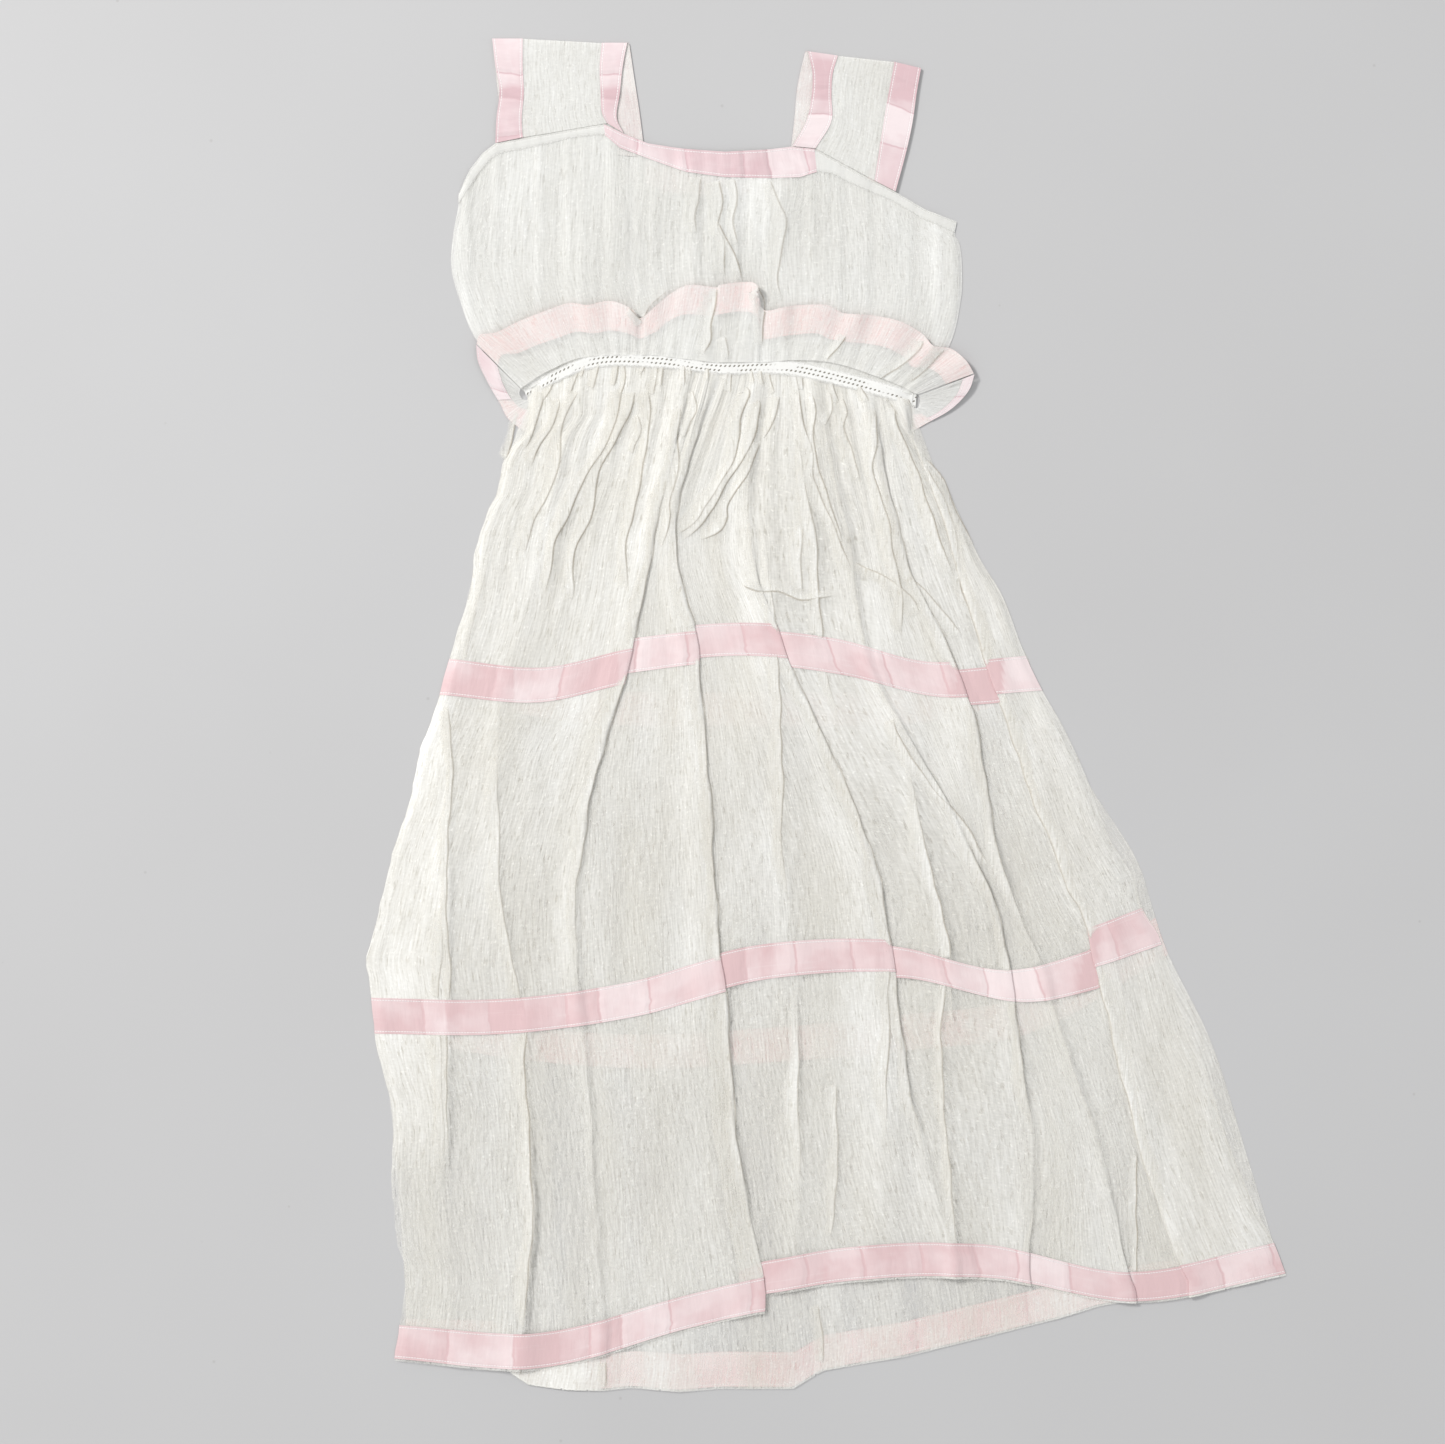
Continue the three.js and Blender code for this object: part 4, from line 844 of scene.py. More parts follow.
def fold_strip(line, wide, high, ground, seed, over="left", strength=None, bare=None, bright=1.0):
    """Grid of one tipped-over crease along a line in millimetres. bare gives 0 where a ribbon lies over it,
    and bright says how much whiter its doubled cloth looks."""
    line, at = even_line(line, 2.5 if strength is None else 4.5)
    way = np.gradient(line, axis=0)
    way = way / np.linalg.norm(way, axis=1, keepdims=True)
    out = np.column_stack([way[:, 1], -way[:, 0]])
    if (out.mean(axis=0) @ (-1.0, 0.6) < 0) == (over == "left"):
        out = -out
    share = at / at[-1]
    taper = ease(share / 0.08) * ease((1 - share) / 0.25)
    if strength is not None:
        taper = taper * np.interp(share, np.linspace(0, 1, len(strength)), strength)
    sway = 0.4 * np.sin(at / 6.1 + seed) + 0.7 * np.sin(at / 15.3 + 2.1 * seed)
    line = line + out * (sway * taper)[:, None]
    width = wide * (2.7 + 0.8 * np.sin(at / 17 + 1.3 * seed)) * ease(2 * taper) + 0.3
    back, past = column_of(FOLD_SECTION, "back"), column_of(FOLD_SECTION, "past")
    reach = width[:, None] * back - past * (0.3 + 0.7 * taper[:, None])
    flat = line[:, None, :] + out[:, None, :] * reach[..., None]
    floor = ground(flat[..., 0], flat[..., 1])
    floor = np.where(np.isnan(floor), np.nanmin(np.append(floor, 1.5)), floor)
    z = floor + 0.22 + column_of(FOLD_SECTION, "lift") * max(0.33 * high, 0.25) * taper[:, None]
    layers = column_of(FOLD_SECTION, "layers")
    layers = mix(-1.6, np.where(layers > 0, layers - 1 + bright, layers), ease(taper * 1.5)[:, None])
    # painted shade: the section's shade column darkens the strip's foot beside the fold's edge
    shade = column_of(FOLD_SECTION, "shade") * min(1, abs(high) / 1.7) * taper[:, None]
    if bare is not None:
        layers = mix(-1.6, layers, bare(flat[..., 0], flat[..., 1]))
    points = np.dstack([flat, z])
    cloth = np.dstack([flat[..., 0] / 1000, -flat[..., 1] / 1000, np.full(z.shape, 9.0)])
    edging = np.dstack([np.full(z.shape, 0.05), layers, shade])
    return points, {"cloth": cloth, "edging": edging}


def crease_line(crease):
    line = np.array([spot(*p) for p in crease["line"]])
    return curve(np.arange(len(line)), line, np.linspace(0, len(line) - 1, 12 * len(line)))


def fold_strips(table, ground, bare=None, bright=1.0):
    """Strips for the creases that are clear enough to have tipped over."""
    return [fold_strip(crease_line(c), c["wide"], c["high"], ground, 0.7 * k, c.get("over", "left"),
                       bare=bare, bright=c.get("bright", bright))
            for k, c in enumerate(table) if abs(c["high"]) > 0.95]


print("columns across a fold strip:", len(FOLD_SECTION))

# %% [markdown]
# ## The skirt's front
# The front is one wide panel, gathered into the waist. Its line at thirteen heights is known, and so are its
# six long pleats, where cloth was folded over as the dress was laid down. A pleat is a flat Z: the upper
# layer comes to a folded edge, turns back under itself and turns forward again. Where its depth is nothing
# the pleat has opened out and leaves only a soft ridge. The edges of the folds wander by a millimetre or two,
# as soft cloth does.

# %% Tables of the skirt's front
SKIRT_FRONT = named_rows(
    "name down y rest gather",
    ("waist", 0, [303, 329, 330, 324, 323, 310, 293], 5.9, 2.4),
    ("yoke", 73, [240, 251, 253, 251, 247, 240, 234], 5.9, 2.6),
    ("hip", 160, [147, 158, 166, 164, 158, 151, 145], 4.2, 1.6),
    ("bandOneTop", 241, [53, 46, 70, 83, 73, 49, 55], 3.8, 0.4),
    ("bandOneEnd", 272, [19, 13, 38, 52, 39, 16, 22], 3.8, 0.4),
    ("thigh", 369, [-62, -67, -55, -45, -55, -67, -60], 3.8, 0.8),
    ("knee", 455, [-155, -157, -146, -131, -136, -150, -129], 3.8, 0.8),
    ("bandTwoTop", 544, [-269, -270, -254, -220, -216, -239, -188], 3.8, 0.3),
    ("bandTwoEnd", 576, [-303, -303, -286, -252, -247, -269, -222], 3.8, 0.3),
    ("calf", 638, [-359, -357, -342, -314, -309, -328, -300], 3.8, 0.8),
    ("shin", 738, [-466, -461, -442, -414, -404, -418, -399], 3.8, 0.8),
    ("hemTop", 833, [-580, -586, -548, -509, -503, -529, -502], 3.8, 0.3),
    ("hemEnd", 867, [-614, -622, -582, -543, -537, -559, -533], 3.8, 0.3),
)
SIDES = {  # the skirt's side edges on the photo, waist to hem
    "left": [(527, 432), (509, 450), (502, 467), (497, 493), (485, 519), (475, 553), (469, 597), (457, 634),
             (449, 658), (436, 708), (420, 750), (412, 793), (393, 852), (383, 895), (373, 933), (366, 962),
             (370, 982), (372, 998), (374, 1031), (385, 1080), (392, 1104), (393, 1136), (392, 1187),
             (398, 1244), (406, 1273), (400, 1323), (394, 1361)],
    "right": [(914, 442), (924, 460), (942, 478), (957, 510), (981, 560), (1002, 595), (1024, 653),
              (1041, 689), (1063, 728), (1086, 778), (1107, 836), (1133, 880), (1141, 911), (1159, 941),
              (1189, 1040), (1204, 1068), (1229, 1146), (1258, 1214), (1272, 1239), (1286, 1275)],
}
PLEAT_STATIONS = [0, 160, 257, 455, 560, 738, 850]
PLEATS = named_rows(
    "over edge depth step",
    ("left", [-130, -162, -188, -237, -233, -219, -212], [0, 8, 14, 0, 0, 0, 0], [0, -4, -10, -3, 0, 0, 0]),
    ("left", [-107, -142, -121, -106, -97, -79, -56], [0, 8, 12, 16, 20, 22, 24],
     [0, -3, -6, -4, -3, -10, -16]),
    ("left", [-62, -73, -40, 46, 63, 89, 124], [0, 0, 9, 8, 8, 0, 0], [0, 0, 8, 6, 6, 0, 0]),
    ("left", [-10, 22, 43, 151, 177, 195, 195], [0, 0, 0, 7, 8, 0, 8], [0, 0, 0, 0, 0, 0, 0]),
    ("left", [41, 76, 131, 169, 209, 261, 294], [0, 8, 12, 0, 0, 0, 8], [0, 4, 8, 0, 0, 0, 0]),
    ("right", [69, 124, 157, 219, 254, 299, 344], [0, 8, 10, 10, 22, 10, 8], [0, 0, -8, -12, -22, -8, 0]),
)
STRIPS = named_rows(  # cloth between the pleats: gathers in it at the waist, and columns of points
    "gathers columns",
    (10, 74), (2, 40), (4, 48), (4, 30), (4, 30), (2, 16), (2, 22),
)
SOFT_RIDGES = named_rows(
    "x height reach",
    ([-262, -318, -345, -360, -366, -360, -356], [0, 1, 1, 2, 2, 1, 0.5], 26),
    ([-230, -270, -304, -309, -286, -276, -290], [0, 2, 2, 2, 2, 3, 3], 18),
    ([-85, -60, -45, -40, -28, -25, -27], [0, 2, 3, 2, 2, 2, 2], 22),
    ([-35, -10, 0, 40, 60, 55, 40], [0, 3, 1, 3, 3, 2, 2], 22),
    ([30, 70, 62, 100, 120, 118, 128], [0, 2, 1, 3, 2, 3, 3], 18),
)
print("pleats:", len(PLEATS), "soft ridges:", len(SOFT_RIDGES))

# %% [markdown]
# ### A pleat's section
# The thin cloth needs less height than its solid. The profile is two half rounds joined by the turned layer,
# and it blends into a low ridge as the pleat opens.

# %% Pleat profile
PLEAT_TOP, PLEAT_MIDDLE = 1.65, 1.15  # heights of a closed pleat's upper and turned layers over the lower one
CLOSED_DEPTH = 6.0
RIDGE_HIGH, RIDGE_RUN = 2.2, 10.0
CLIMB_RUN = 16.0
STEP_REACH = 55.0


def pleat_profile(depth):
    """Points of a pleat, from its folded edge to its lower layer: distance from the edge and height."""
    closed = np.clip(depth / CLOSED_DEPTH, 0, 1)
    run = max(depth, CLOSED_DEPTH)
    turn, back = (PLEAT_TOP - PLEAT_MIDDLE) / 2, PLEAT_MIDDLE / 2
    round_one = np.radians([90, 40, -20, -90])
    round_two = np.radians([90, 140, 200, 270])
    x = np.concatenate([-turn + turn * np.cos(round_one), [-run * 0.35, -run * 0.68],
                        -run + back + back * np.cos(round_two)])
    z = np.concatenate([PLEAT_TOP - turn + turn * np.sin(round_one), [PLEAT_MIDDLE] * 2,
                        back + back * np.sin(round_two)])
    share = np.linspace(-0.08, 1, len(x))
    open_z = RIDGE_HIGH * (1 - ease(np.maximum(share, 0)))
    return mix(share * RIDGE_RUN, x, closed), mix(open_z, z, closed)


print("pleat 12 mm deep, last point:", [round(float(v[-1]), 2) for v in pleat_profile(12)])

# %% [markdown]
# ### One row of the front
# A row runs from side to side at one distance down the cloth. Strip by strip it climbs on to each pleat,
# follows the pleat's profile, and goes on. Small gathers run down from the waist and die away below the hips.


# %% Front rows
def read_section(sections, down):
    knots = [s["down"] for s in sections]
    found = {"y": curve(knots, [s["y"] for s in sections], down)}
    for key in ("rest", "gather"):
        found[key] = float(np.interp(down, knots, [s[key] for s in sections]))
    return found


def side_at(side, y):
    line = np.array([spot(*p) for p in SIDES[side]])
    return float(curve(-line[:, 1], line[:, 0], np.clip(-y, -line[0, 1], -line[-1, 1])))


def at_station(values, down):
    return float(curve(PLEAT_STATIONS, values, min(down, PLEAT_STATIONS[-1])))


def wander(down, seed):
    """Small shift of a folded edge, which wanders along its length."""
    return (0.7 * math.sin(down / 13 + seed) + 0.3 * math.sin(down / 5.3 + 2.3 * seed)
            + 1.1 * math.sin(down / 31 + seed))


def front_row(from_seam):
    down = max(from_seam, 0.0)
    section = read_section(SKIRT_FRONT, down)
    left, right = side_at("left", section["y"][0]), side_at("right", section["y"][-1])
    pleats = []
    for k, pleat in enumerate(PLEATS):
        depth = max(0.0, at_station(pleat["depth"], down))
        side = 1 if pleat["over"] == "left" else -1
        edge = at_station(pleat["edge"], down)
        sway = wander(down, k) * min(1, down / 60)
        x, z = pleat_profile(depth)
        if side < 0:
            x, z = -x[::-1], z[::-1]
        pleats.append({"side": side, "sway": sway, "edge": edge, "closed": min(1, depth / CLOSED_DEPTH),
                       "reach": edge - side * depth,
                       "step": at_station(pleat["step"], down), "x": edge + x, "z": z,
                       "level": z[0] if side > 0 else z[-1]})
    across, height, moved = [], [], []

    def moved_by(x, strip):
        total = np.zeros(np.shape(x))
        for k, pleat in enumerate(pleats):
            sign = 1 if k >= strip else -1
            total = total + sign * pleat["step"] / 2 * np.exp(-np.abs(x - pleat["edge"]) / STEP_REACH)
        return total

    number = 0
    for strip, plan in enumerate(STRIPS):
        before = pleats[strip - 1] if strip else None
        after = pleats[strip] if strip < len(pleats) else None
        start = before["x"][-1] if before else left
        end = after["x"][0] if after else right
        x = np.linspace(start, end, plan["columns"] + 1)
        lift = np.zeros(len(x))
        if after and after["side"] > 0:
            lift += after["level"] * ease(1 - (after["reach"] - x) / CLIMB_RUN)
        if before and before["side"] < 0:
            lift += before["level"] * ease(1 - (x - before["reach"]) / CLIMB_RUN)
        place = np.linspace(0, plan["gathers"], len(x))
        wave = np.sin(math.pi * place) ** 2 * uneven_share(number + np.floor(place))
        fine = np.sin(math.pi * place * 3.0 + number) ** 2 * 0.35
        number += plan["gathers"]
        moved.append(moved_by(x, strip))
        for pleat, near_end in ((before, start), (after, end)):
            if pleat:
                x = x + pleat["sway"] * np.exp(-np.abs(x - near_end) / 7)
        across.append(x)
        height.append(lift + 0.4 * section["gather"] * (wave + fine))
        if after:
            inner = slice(1, -1)
            share = np.array([0.04, 0.07, 0.1, 0.36, 0.64, 0.9, 0.93, 0.96])
            across.append(after["x"][inner] + after["sway"])
            height.append(after["z"][inner])
            moved.append(mix(moved_by(after["x"][inner], strip), moved_by(after["x"][inner], strip + 1),
                             share))
    x, z, shift = (np.concatenate(part) for part in (across, height, moved))
    calm = np.ones(len(x))
    for pleat in pleats:
        half = abs(pleat["edge"] - pleat["reach"]) / 2
        away = np.abs(x - (pleat["edge"] + pleat["reach"]) / 2) - half
        calm *= mix(1, ease(away / 15), pleat["closed"])
    for ridge in SOFT_RIDGES:
        away = (x - at_station(ridge["x"], down)) / ridge["reach"]
        z = z + calm * max(0.0, at_station(ridge["height"], down)) * np.exp(-away * away)
    y = curve(np.arange(7) / 6, section["y"], np.clip((x - left) / (right - left), 0, 1)) + shift
    z = z * min(1, 0.35 + max(from_seam, 0) / 12)
    return x, y + down - from_seam, z + SLIM * section["rest"], np.minimum(x - left, right - x)


def rows_between(stops, step):
    """Even rows that hit each stop."""
    parts = [np.linspace(a, b, max(2, round((b - a) / step) + 1))[:-1] for a, b in zip(stops, stops[1:])]
    return np.concatenate([*parts, [stops[-1]]])


HEM_RAW = 2.4  # raw gauze below the hem ribbon
FINE_ROWS, FRONT_ROWS, BACK_ROWS = 5.0, 7.8, 13.0  # spacing of the skirt's rows, in millimetres
BACK_COLUMNS = 117
upper_rows = rows_between([-4, 0, 241], FINE_ROWS)
front_down = np.concatenate([upper_rows[:-1],
                             rows_between([241, 272, 544, 576, 833, 867 - HEM_RAW, 867], FRONT_ROWS)])
rows = [front_row(down) for down in front_down]
front_x, front_y, front_z, from_side = (np.array(part) for part in zip(*rows))
print("skirt front grid:", front_x.shape)

# %% [markdown]
# ### Creases and sides of the front
# Now the listed creases go on, then a slight overall unevenness. The front must stay clear of the back
# below it. At both sides it comes down to meet the back, because the skirt is a tube.

# %% Front shape
front_z = front_z + crease_shape(front_x, front_y, FRONT_CREASES)
unevenness = (0.3 * ripples(front_x / 16, front_y / 30, seed=3)
              + 0.5 * ripples(front_x / 38, front_y / 60, seed=4))
front_z = front_z + unevenness * ease(front_down[:, None] / 30)
front_z = np.maximum(front_z, 1.9)
front_z = 0.5 + (front_z - 0.5) * ease((from_side + 0.6) / 9)
front_edge = ripples(front_down / 5.5, 0.0, seed=5) * 0.7
front_x = front_x + np.outer(front_edge, np.exp(-((np.linspace(0, 1, front_x.shape[1]) / 0.02) ** 2)))
skirt_front_points = np.stack([front_x, front_y, front_z], axis=2)
print("front heights, mm:", round(float(front_z.min()), 2), "to", round(float(front_z.max()), 2))

# %% [markdown]
# ## The skirt's back
# The back lies under the front and hangs lower, so its hem shows. Its ribbons are on its far side, against
# the table, and are seen through the gauze as a pale pink.

# %% Tables of the skirt's back
SKIRT_BACK = named_rows(
    "name down left right y rest gather",
    ("waist", 0, -280, 82, [303, 325, 325, 323, 320, 308, 293], 3.4, 0.9),
    ("yoke", 85, -303, 105, [238, 240, 238, 236, 234, 232, 232], 3.4, 0.9),
    ("hip", 188, -331, 140, [145, 137, 133, 133, 133, 137, 143], 0.6, 0.6),
    ("bandOneTop", 300, -353, 193, [52, 29, 21, 21, 21, 27, 53], 1.9, 0),
    ("bandOneEnd", 332, -362, 203, [19, -3, -11, -11, -11, -5, 20], 1.9, 0),
    ("thigh", 416, -389, 248, [-64, -87, -95, -95, -93, -85, -62], 0.6, 0.4),
    ("knee", 505, -411, 294, [-157, -178, -186, -184, -180, -169, -134], 0.6, 0.4),
    ("bandTwoTop", 620, -428, 314, [-271, -294, -304, -298, -286, -267, -193], 1.9, 0),
    ("bandTwoEnd", 652, -426, 326, [-304, -326, -336, -330, -319, -300, -228], 1.9, 0),
    ("calf", 702, -414, 364, [-361, -381, -389, -381, -366, -340, -304], 0.6, 0.4),
    ("shin", 802, -404, 396, [-468, -486, -492, -480, -456, -423, -403], 0.6, 0.4),
    ("hemTop", 912, -398, 426, [-585, -604, -607, -591, -556, -524, -506], 1.9, 0),
    ("hemEnd", 946, -405, 432, [-615, -638, -643, -625, -589, -556, -536], 1.9, 0),
)
HEM_CREASES = named_rows(
    "high wide line",
    (1.4, 3.5, [(818, 1303), (823, 1340), (822, 1368)]),
    (0.9, 4, [(745, 1300), (741, 1392)]),
    (1.5, 3, [(606, 1360), (604, 1391)]),
    (0.9, 5, [(676, 1340), (680, 1395)]),
    (0.9, 5, [(900, 1285), (906, 1360)]),
    (0.9, 4, [(1024, 1285), (1027, 1330)]),
    (0.9, 3, [(952, 1290), (960, 1345)]),
)
HEM_EDGE = [  # the back hem's scalloped lower edge, on the photo
    (399, 1350), (490, 1354), (503, 1364), (512, 1374), (529, 1385), (567, 1390), (602, 1391), (631, 1388),
    (679, 1392), (720, 1389), (793, 1389), (822, 1371), (904, 1357), (990, 1336), (1061, 1318), (1100, 1306),
    (1280, 1276),
]
back_down = rows_between([0, 300, 332, 620, 652, 912, 946 - HEM_RAW, 946], BACK_ROWS)
rows = []
for down in back_down:
    section = read_section(SKIRT_BACK, down)
    knots = [s["down"] for s in SKIRT_BACK]
    left, right = (float(curve(knots, [s[key] for s in SKIRT_BACK], down)) for key in ("left", "right"))
    x = np.linspace(left, right, BACK_COLUMNS)
    y = curve(np.arange(7) / 6, section["y"], np.clip((x - left) / (right - left), 0, 1))
    gathers = section["gather"] * np.sin(math.pi * np.linspace(0, 19, len(x))) ** 2 * 0.6
    rows.append((x, y, SLIM * section["rest"] + gathers, np.minimum(x - left, right - x)))
back_x, back_y, back_z, from_side = (np.array(part) for part in zip(*rows))
back_px = back_x / PIXEL_MM + ORIGIN_PIXEL[0]
edge_px, edge_py = np.array(HEM_EDGE).T
edge_shift = ORIGIN_PIXEL[1] * PIXEL_MM - np.interp(back_px[-1], edge_px, edge_py) * PIXEL_MM - back_y[-1]
back_y = back_y + edge_shift * ease((back_down[:, None] - 850) / 70)
hem_x = front_x[-1][::-1] if front_x[-1][0] > front_x[-1][-1] else front_x[-1]
front_hem_y = np.interp(back_x, hem_x, front_y[-1])
bared = ease((front_hem_y - back_y) / 8)
back_z = back_z + 0.22 * (1 + ripples(back_x / 22, back_y / 45, seed=8))
back_z = np.minimum(back_z, mix(np.where(back_down[:, None] < 120, 3.2, 1.35), 6.0, bared))
back_z = back_z + bared * crease_shape(back_x, back_y, HEM_CREASES)
back_z = np.maximum(0.3 + (back_z - 0.3) * ease((from_side + 2) / 12), 0.25)
skirt_back_points = np.stack([back_x, back_y, back_z], axis=2)
turned_corner = ease((605 - back_px) / 3) * ease((back_px - 490) / 8) * ease((back_down[:, None] - 908) / 8)
print("skirt back grid:", back_x.shape)

# %% [markdown]
# ### Sewing the skirt up
# Front and back become one tube of gauze with two faces. The left side lies double for a hand's width, where
# the seam has rolled to the front. Beside every long fold the cover is raised and whiter, which is the doubled
# cloth of a pleat and painted light on a soft ridge, and beyond its edge it is thinned and darker, a painted
# shade, which is what the eye reads as a fold. The ribbons reuse rows of the same grids.

# %% Skirt pieces
double_left = (ease((452 - (front_x / PIXEL_MM + ORIGIN_PIXEL[0])) / 5)
               * ease((front_down[:, None] - 250) / 60))
double_left = double_left * ease((730 - front_down[:, None]) / 60)
gathered_in = 0.8 * ease(1 - front_down[:, None] / 620)
# lower skirt: cover thinner towards the left and denser towards the right
low_skirt_cover_tilt = (0.42 * ease((front_down[:, None] - 540) / 150)
             * (ease((front_x - 210) / 130) - ease((40 - front_x) / 160)))
blotches = 0.2 * ripples(front_x / 11, front_y / 55, seed=31)
long_folds, first = [], 0
for k, pleat in enumerate(PLEATS):
    first += STRIPS[k]["columns"] + 1
    column = first + 8 * k + (1 if pleat["over"] == "left" else 6)
    closed = np.array([min(1, max(0, at_station(pleat["depth"], down)) / CLOSED_DEPTH)
                       for down in front_down])
    long_folds.append({"x": front_x[:, column], "y": front_y[:, column], "over": pleat["over"],
                       "strength": 0.35 + 0.65 * closed, "wide": 4.5, "high": 1.1})
for k, ridge in enumerate(SOFT_RIDGES):
    place = np.array([at_station(ridge["x"], down) + wander(down, k) for down in front_down])
    nearest = [int(np.argmin(np.abs(row - x))) for row, x in zip(front_x, place)]
    high = np.array([max(0.0, at_station(ridge["height"], down)) / 3 for down in front_down])
    high = high * np.clip(0.75 + 0.5 * np.sin(front_down / 70 + 2 * k), 0, 1)
    long_folds.append({"x": place, "y": front_y[np.arange(len(place)), nearest], "over": "left",
                       "strength": high, "wide": 5.0, "high": 1.5})
# cover beside long folds: doubled cloth of pleats, painted light on soft ridges, painted shade past edges
fold_double_light_and_shade = np.zeros(front_x.shape)
for fold in long_folds:
    away = (front_x - fold["x"][:, None]) * (1 if fold["over"] == "left" else -1)
    tone = np.where(away < 0, 0.42 * np.exp(away / 32), -0.26 * np.exp(-away / 26))
    fold_double_light_and_shade += tone * fold["strength"][:, None]
front_grid = gauze_grid(skirt_front_points, front_down, 0,
                        np.broadcast_to((867 - front_down)[:, None], front_x.shape),
                        double_left + gathered_in + fold_double_light_and_shade + low_skirt_cover_tilt + blotches)
back_grid = gauze_grid(skirt_back_points, back_down, 1,
                       np.broadcast_to((946 - back_down)[:, None], back_x.shape),
                       0.25 * ripples(back_x / 9, back_y / 70, seed=32) + 1.2 * turned_corner)
skirt = cloth_piece("skirt", [front_grid, back_grid], -CLOTH / 2, CLOTH / 2, skirt_gauze, "gauze",
                    ["skirt_front", "skirt_back"])


def rows_from(points, downs, start, end):
    first, last = (int(np.argmin(np.abs(downs - stop))) for stop in (start, end))
    return points[first:last + 1]


# deeper pink; the pleat-valley zones (957, 1003) upper and (1133, 1188) hem are painted shade
DEEP_PINK_AND_SHADE_ZONES = {
    "upper": [(436, 470, 0.3), (470, 515, 0.75), (530, 562, 0.2), (589, 620, 0.35), (650, 690, 0.3),
              (957, 1003, 1.6), (838, 868, 0.1), (870, 950, -0.3), (1008, 1050, -0.4)],
    "middle": [(368, 445, 0.35), (445, 525, 0.9), (566, 610, 0.3), (720, 745, 0.6), (760, 775, 0.5),
               (800, 885, 0.1), (980, 1075, -0.4), (1082, 1098, 0.9), (1100, 1170, -0.3)],
    "hem": [(374, 512, 0.25), (515, 560, 0.6), (600, 645, 0.4), (760, 830, 0.5), (862, 910, 0.3),
            (950, 1030, 0.4), (1133, 1188, 1.2)],
}
for name, start, end in (("upper", 241, 272), ("middle", 544, 576), ("hem", 833, 867 - HEM_RAW)):
    part = rows_from(skirt_front_points, front_down, start, end)
    grid = ribbon_grid(part, zones=DEEP_PINK_AND_SHADE_ZONES[name])
    on_cloth(f"{name}_ribbon_front", [grid], skirt_ribbon, "ribbon",
                                  [f"ribbon_{name}_front"])
for name, start, end in (("upper", 300, 332), ("middle", 620, 652), ("hem", 912, 946 - HEM_RAW)):
    part = rows_from(skirt_back_points, back_down, start, end)
    on_cloth(f"{name}_ribbon_back", [ribbon_grid(part)], skirt_ribbon, "ribbon",
                                  [f"ribbon_{name}_back"], side=-1)

# %% Skirt folds
def off_bands(x, y):
    """1 where the skirt's front is bare, 0 where a ribbon lies on it, with soft steps."""
    bare = np.ones(x.shape)
    for start, end in ((241, 272), (544, 576), (833, 867)):
        high, low = (np.interp(x, np.sort(front_x[row]), front_y[row]) for row in
                     (int(np.argmin(np.abs(front_down - stop))) for stop in (start, end)))
        bare *= 1 - ease((high + 1.2 - y) / 1.2) * ease((y - low + 1.2) / 1.2)
    return bare


ground = height_finder(skirt)
strips = fold_strips(FRONT_CREASES, ground, off_bands, 0.85) + fold_strips(HEM_CREASES, ground, None, 0.4)
for k, fold in enumerate(long_folds):
    line = np.column_stack([fold["x"], fold["y"]])
    strips.append(fold_strip(line, fold["wide"], fold["high"], ground, k, fold["over"], fold["strength"],
                             off_bands))
for i in range(28):  # short gathers under the waistband
    px = 534 + 13.4 * i + 5 * math.sin(2.4 * i)
    py = 343 + 0.00045 * abs(px - 690) ** 2 + 8 * (uneven_share(i) < 0.7)
    long = 16 + 34 * uneven_share(i + 5)
    line = [(px, py + 4), (px + 2 * math.sin(i), py + long / 2), (px + (px - 715) * long / 700, py + long)]
    strips.append(fold_strip(crease_line({"line": line}), 2.6, 1.3, ground, i))
skirt_folds = cloth_piece("skirt_folds", strips, -CLOTH / 2, CLOTH / 2, skirt_gauze, "gauze", [])

# %% [markdown]
# ## The bodice
# Two panels, sewn together under the arms and gathered at the neck. The armholes are edged with the white
# tape and the neck with ribbon, turned at a mitre in each corner.

# %% Bodice tables
BODICE_FRONT_TOP = named_rows(
    "name top seam parts gather",
    ("underarmLeft", (-348, 494), (-348, 484), 1, 0),
    ("armholeLeftLow", (-337, 518), (-329, 513), 1, 0),
    ("armholeLeftHigh", (-325, 533), (-318, 526), 1, 0),
    ("strapLeftOuter", (-313, 542), (-309, 532), 3, 0.2),
    ("strapLeftThird", (-275, 549.4), (-273, 539), 3, 0.4),
    ("strapLeftTwoThirds", (-235, 556.1), (-234, 548), 2, 0.4),
    ("strapLeftInner", (-210, 560.3), (-209, 550), 1, 0.4),
    ("neckCornerLeft", (-191, 551), (-195, 538), 2, 0.6),
    ("neckLeft", (-168, 542), (-166, 527), 4, 1.2),
    ("neckCurve", (-134, 537), (-132, 515), 4, 1.4),
    ("neckMiddle", (-95, 534), (-95, 510), 4, 1.4),
    ("neckRight", (-57, 536), (-54, 509), 2, 1.2),
    ("neckCornerRight", (-33, 539), (-24, 510), 1, 0.8),
    ("strapRightInner", (-10, 537), (-8, 515), 1, 0.4),
    ("strapRightThird", (8, 527.2), (6, 513), 2, 0.4),
    ("strapRightTwoThirds", (33, 513), (30, 501), 2, 0.4),
    ("strapRightOuter", (67, 496), (64, 487), 2, 0.2),
    ("armholeRight", (96, 479), (92, 470), 2, 0),
    ("underarmRight", (125, 468), (123, 457), 0, 0),
)
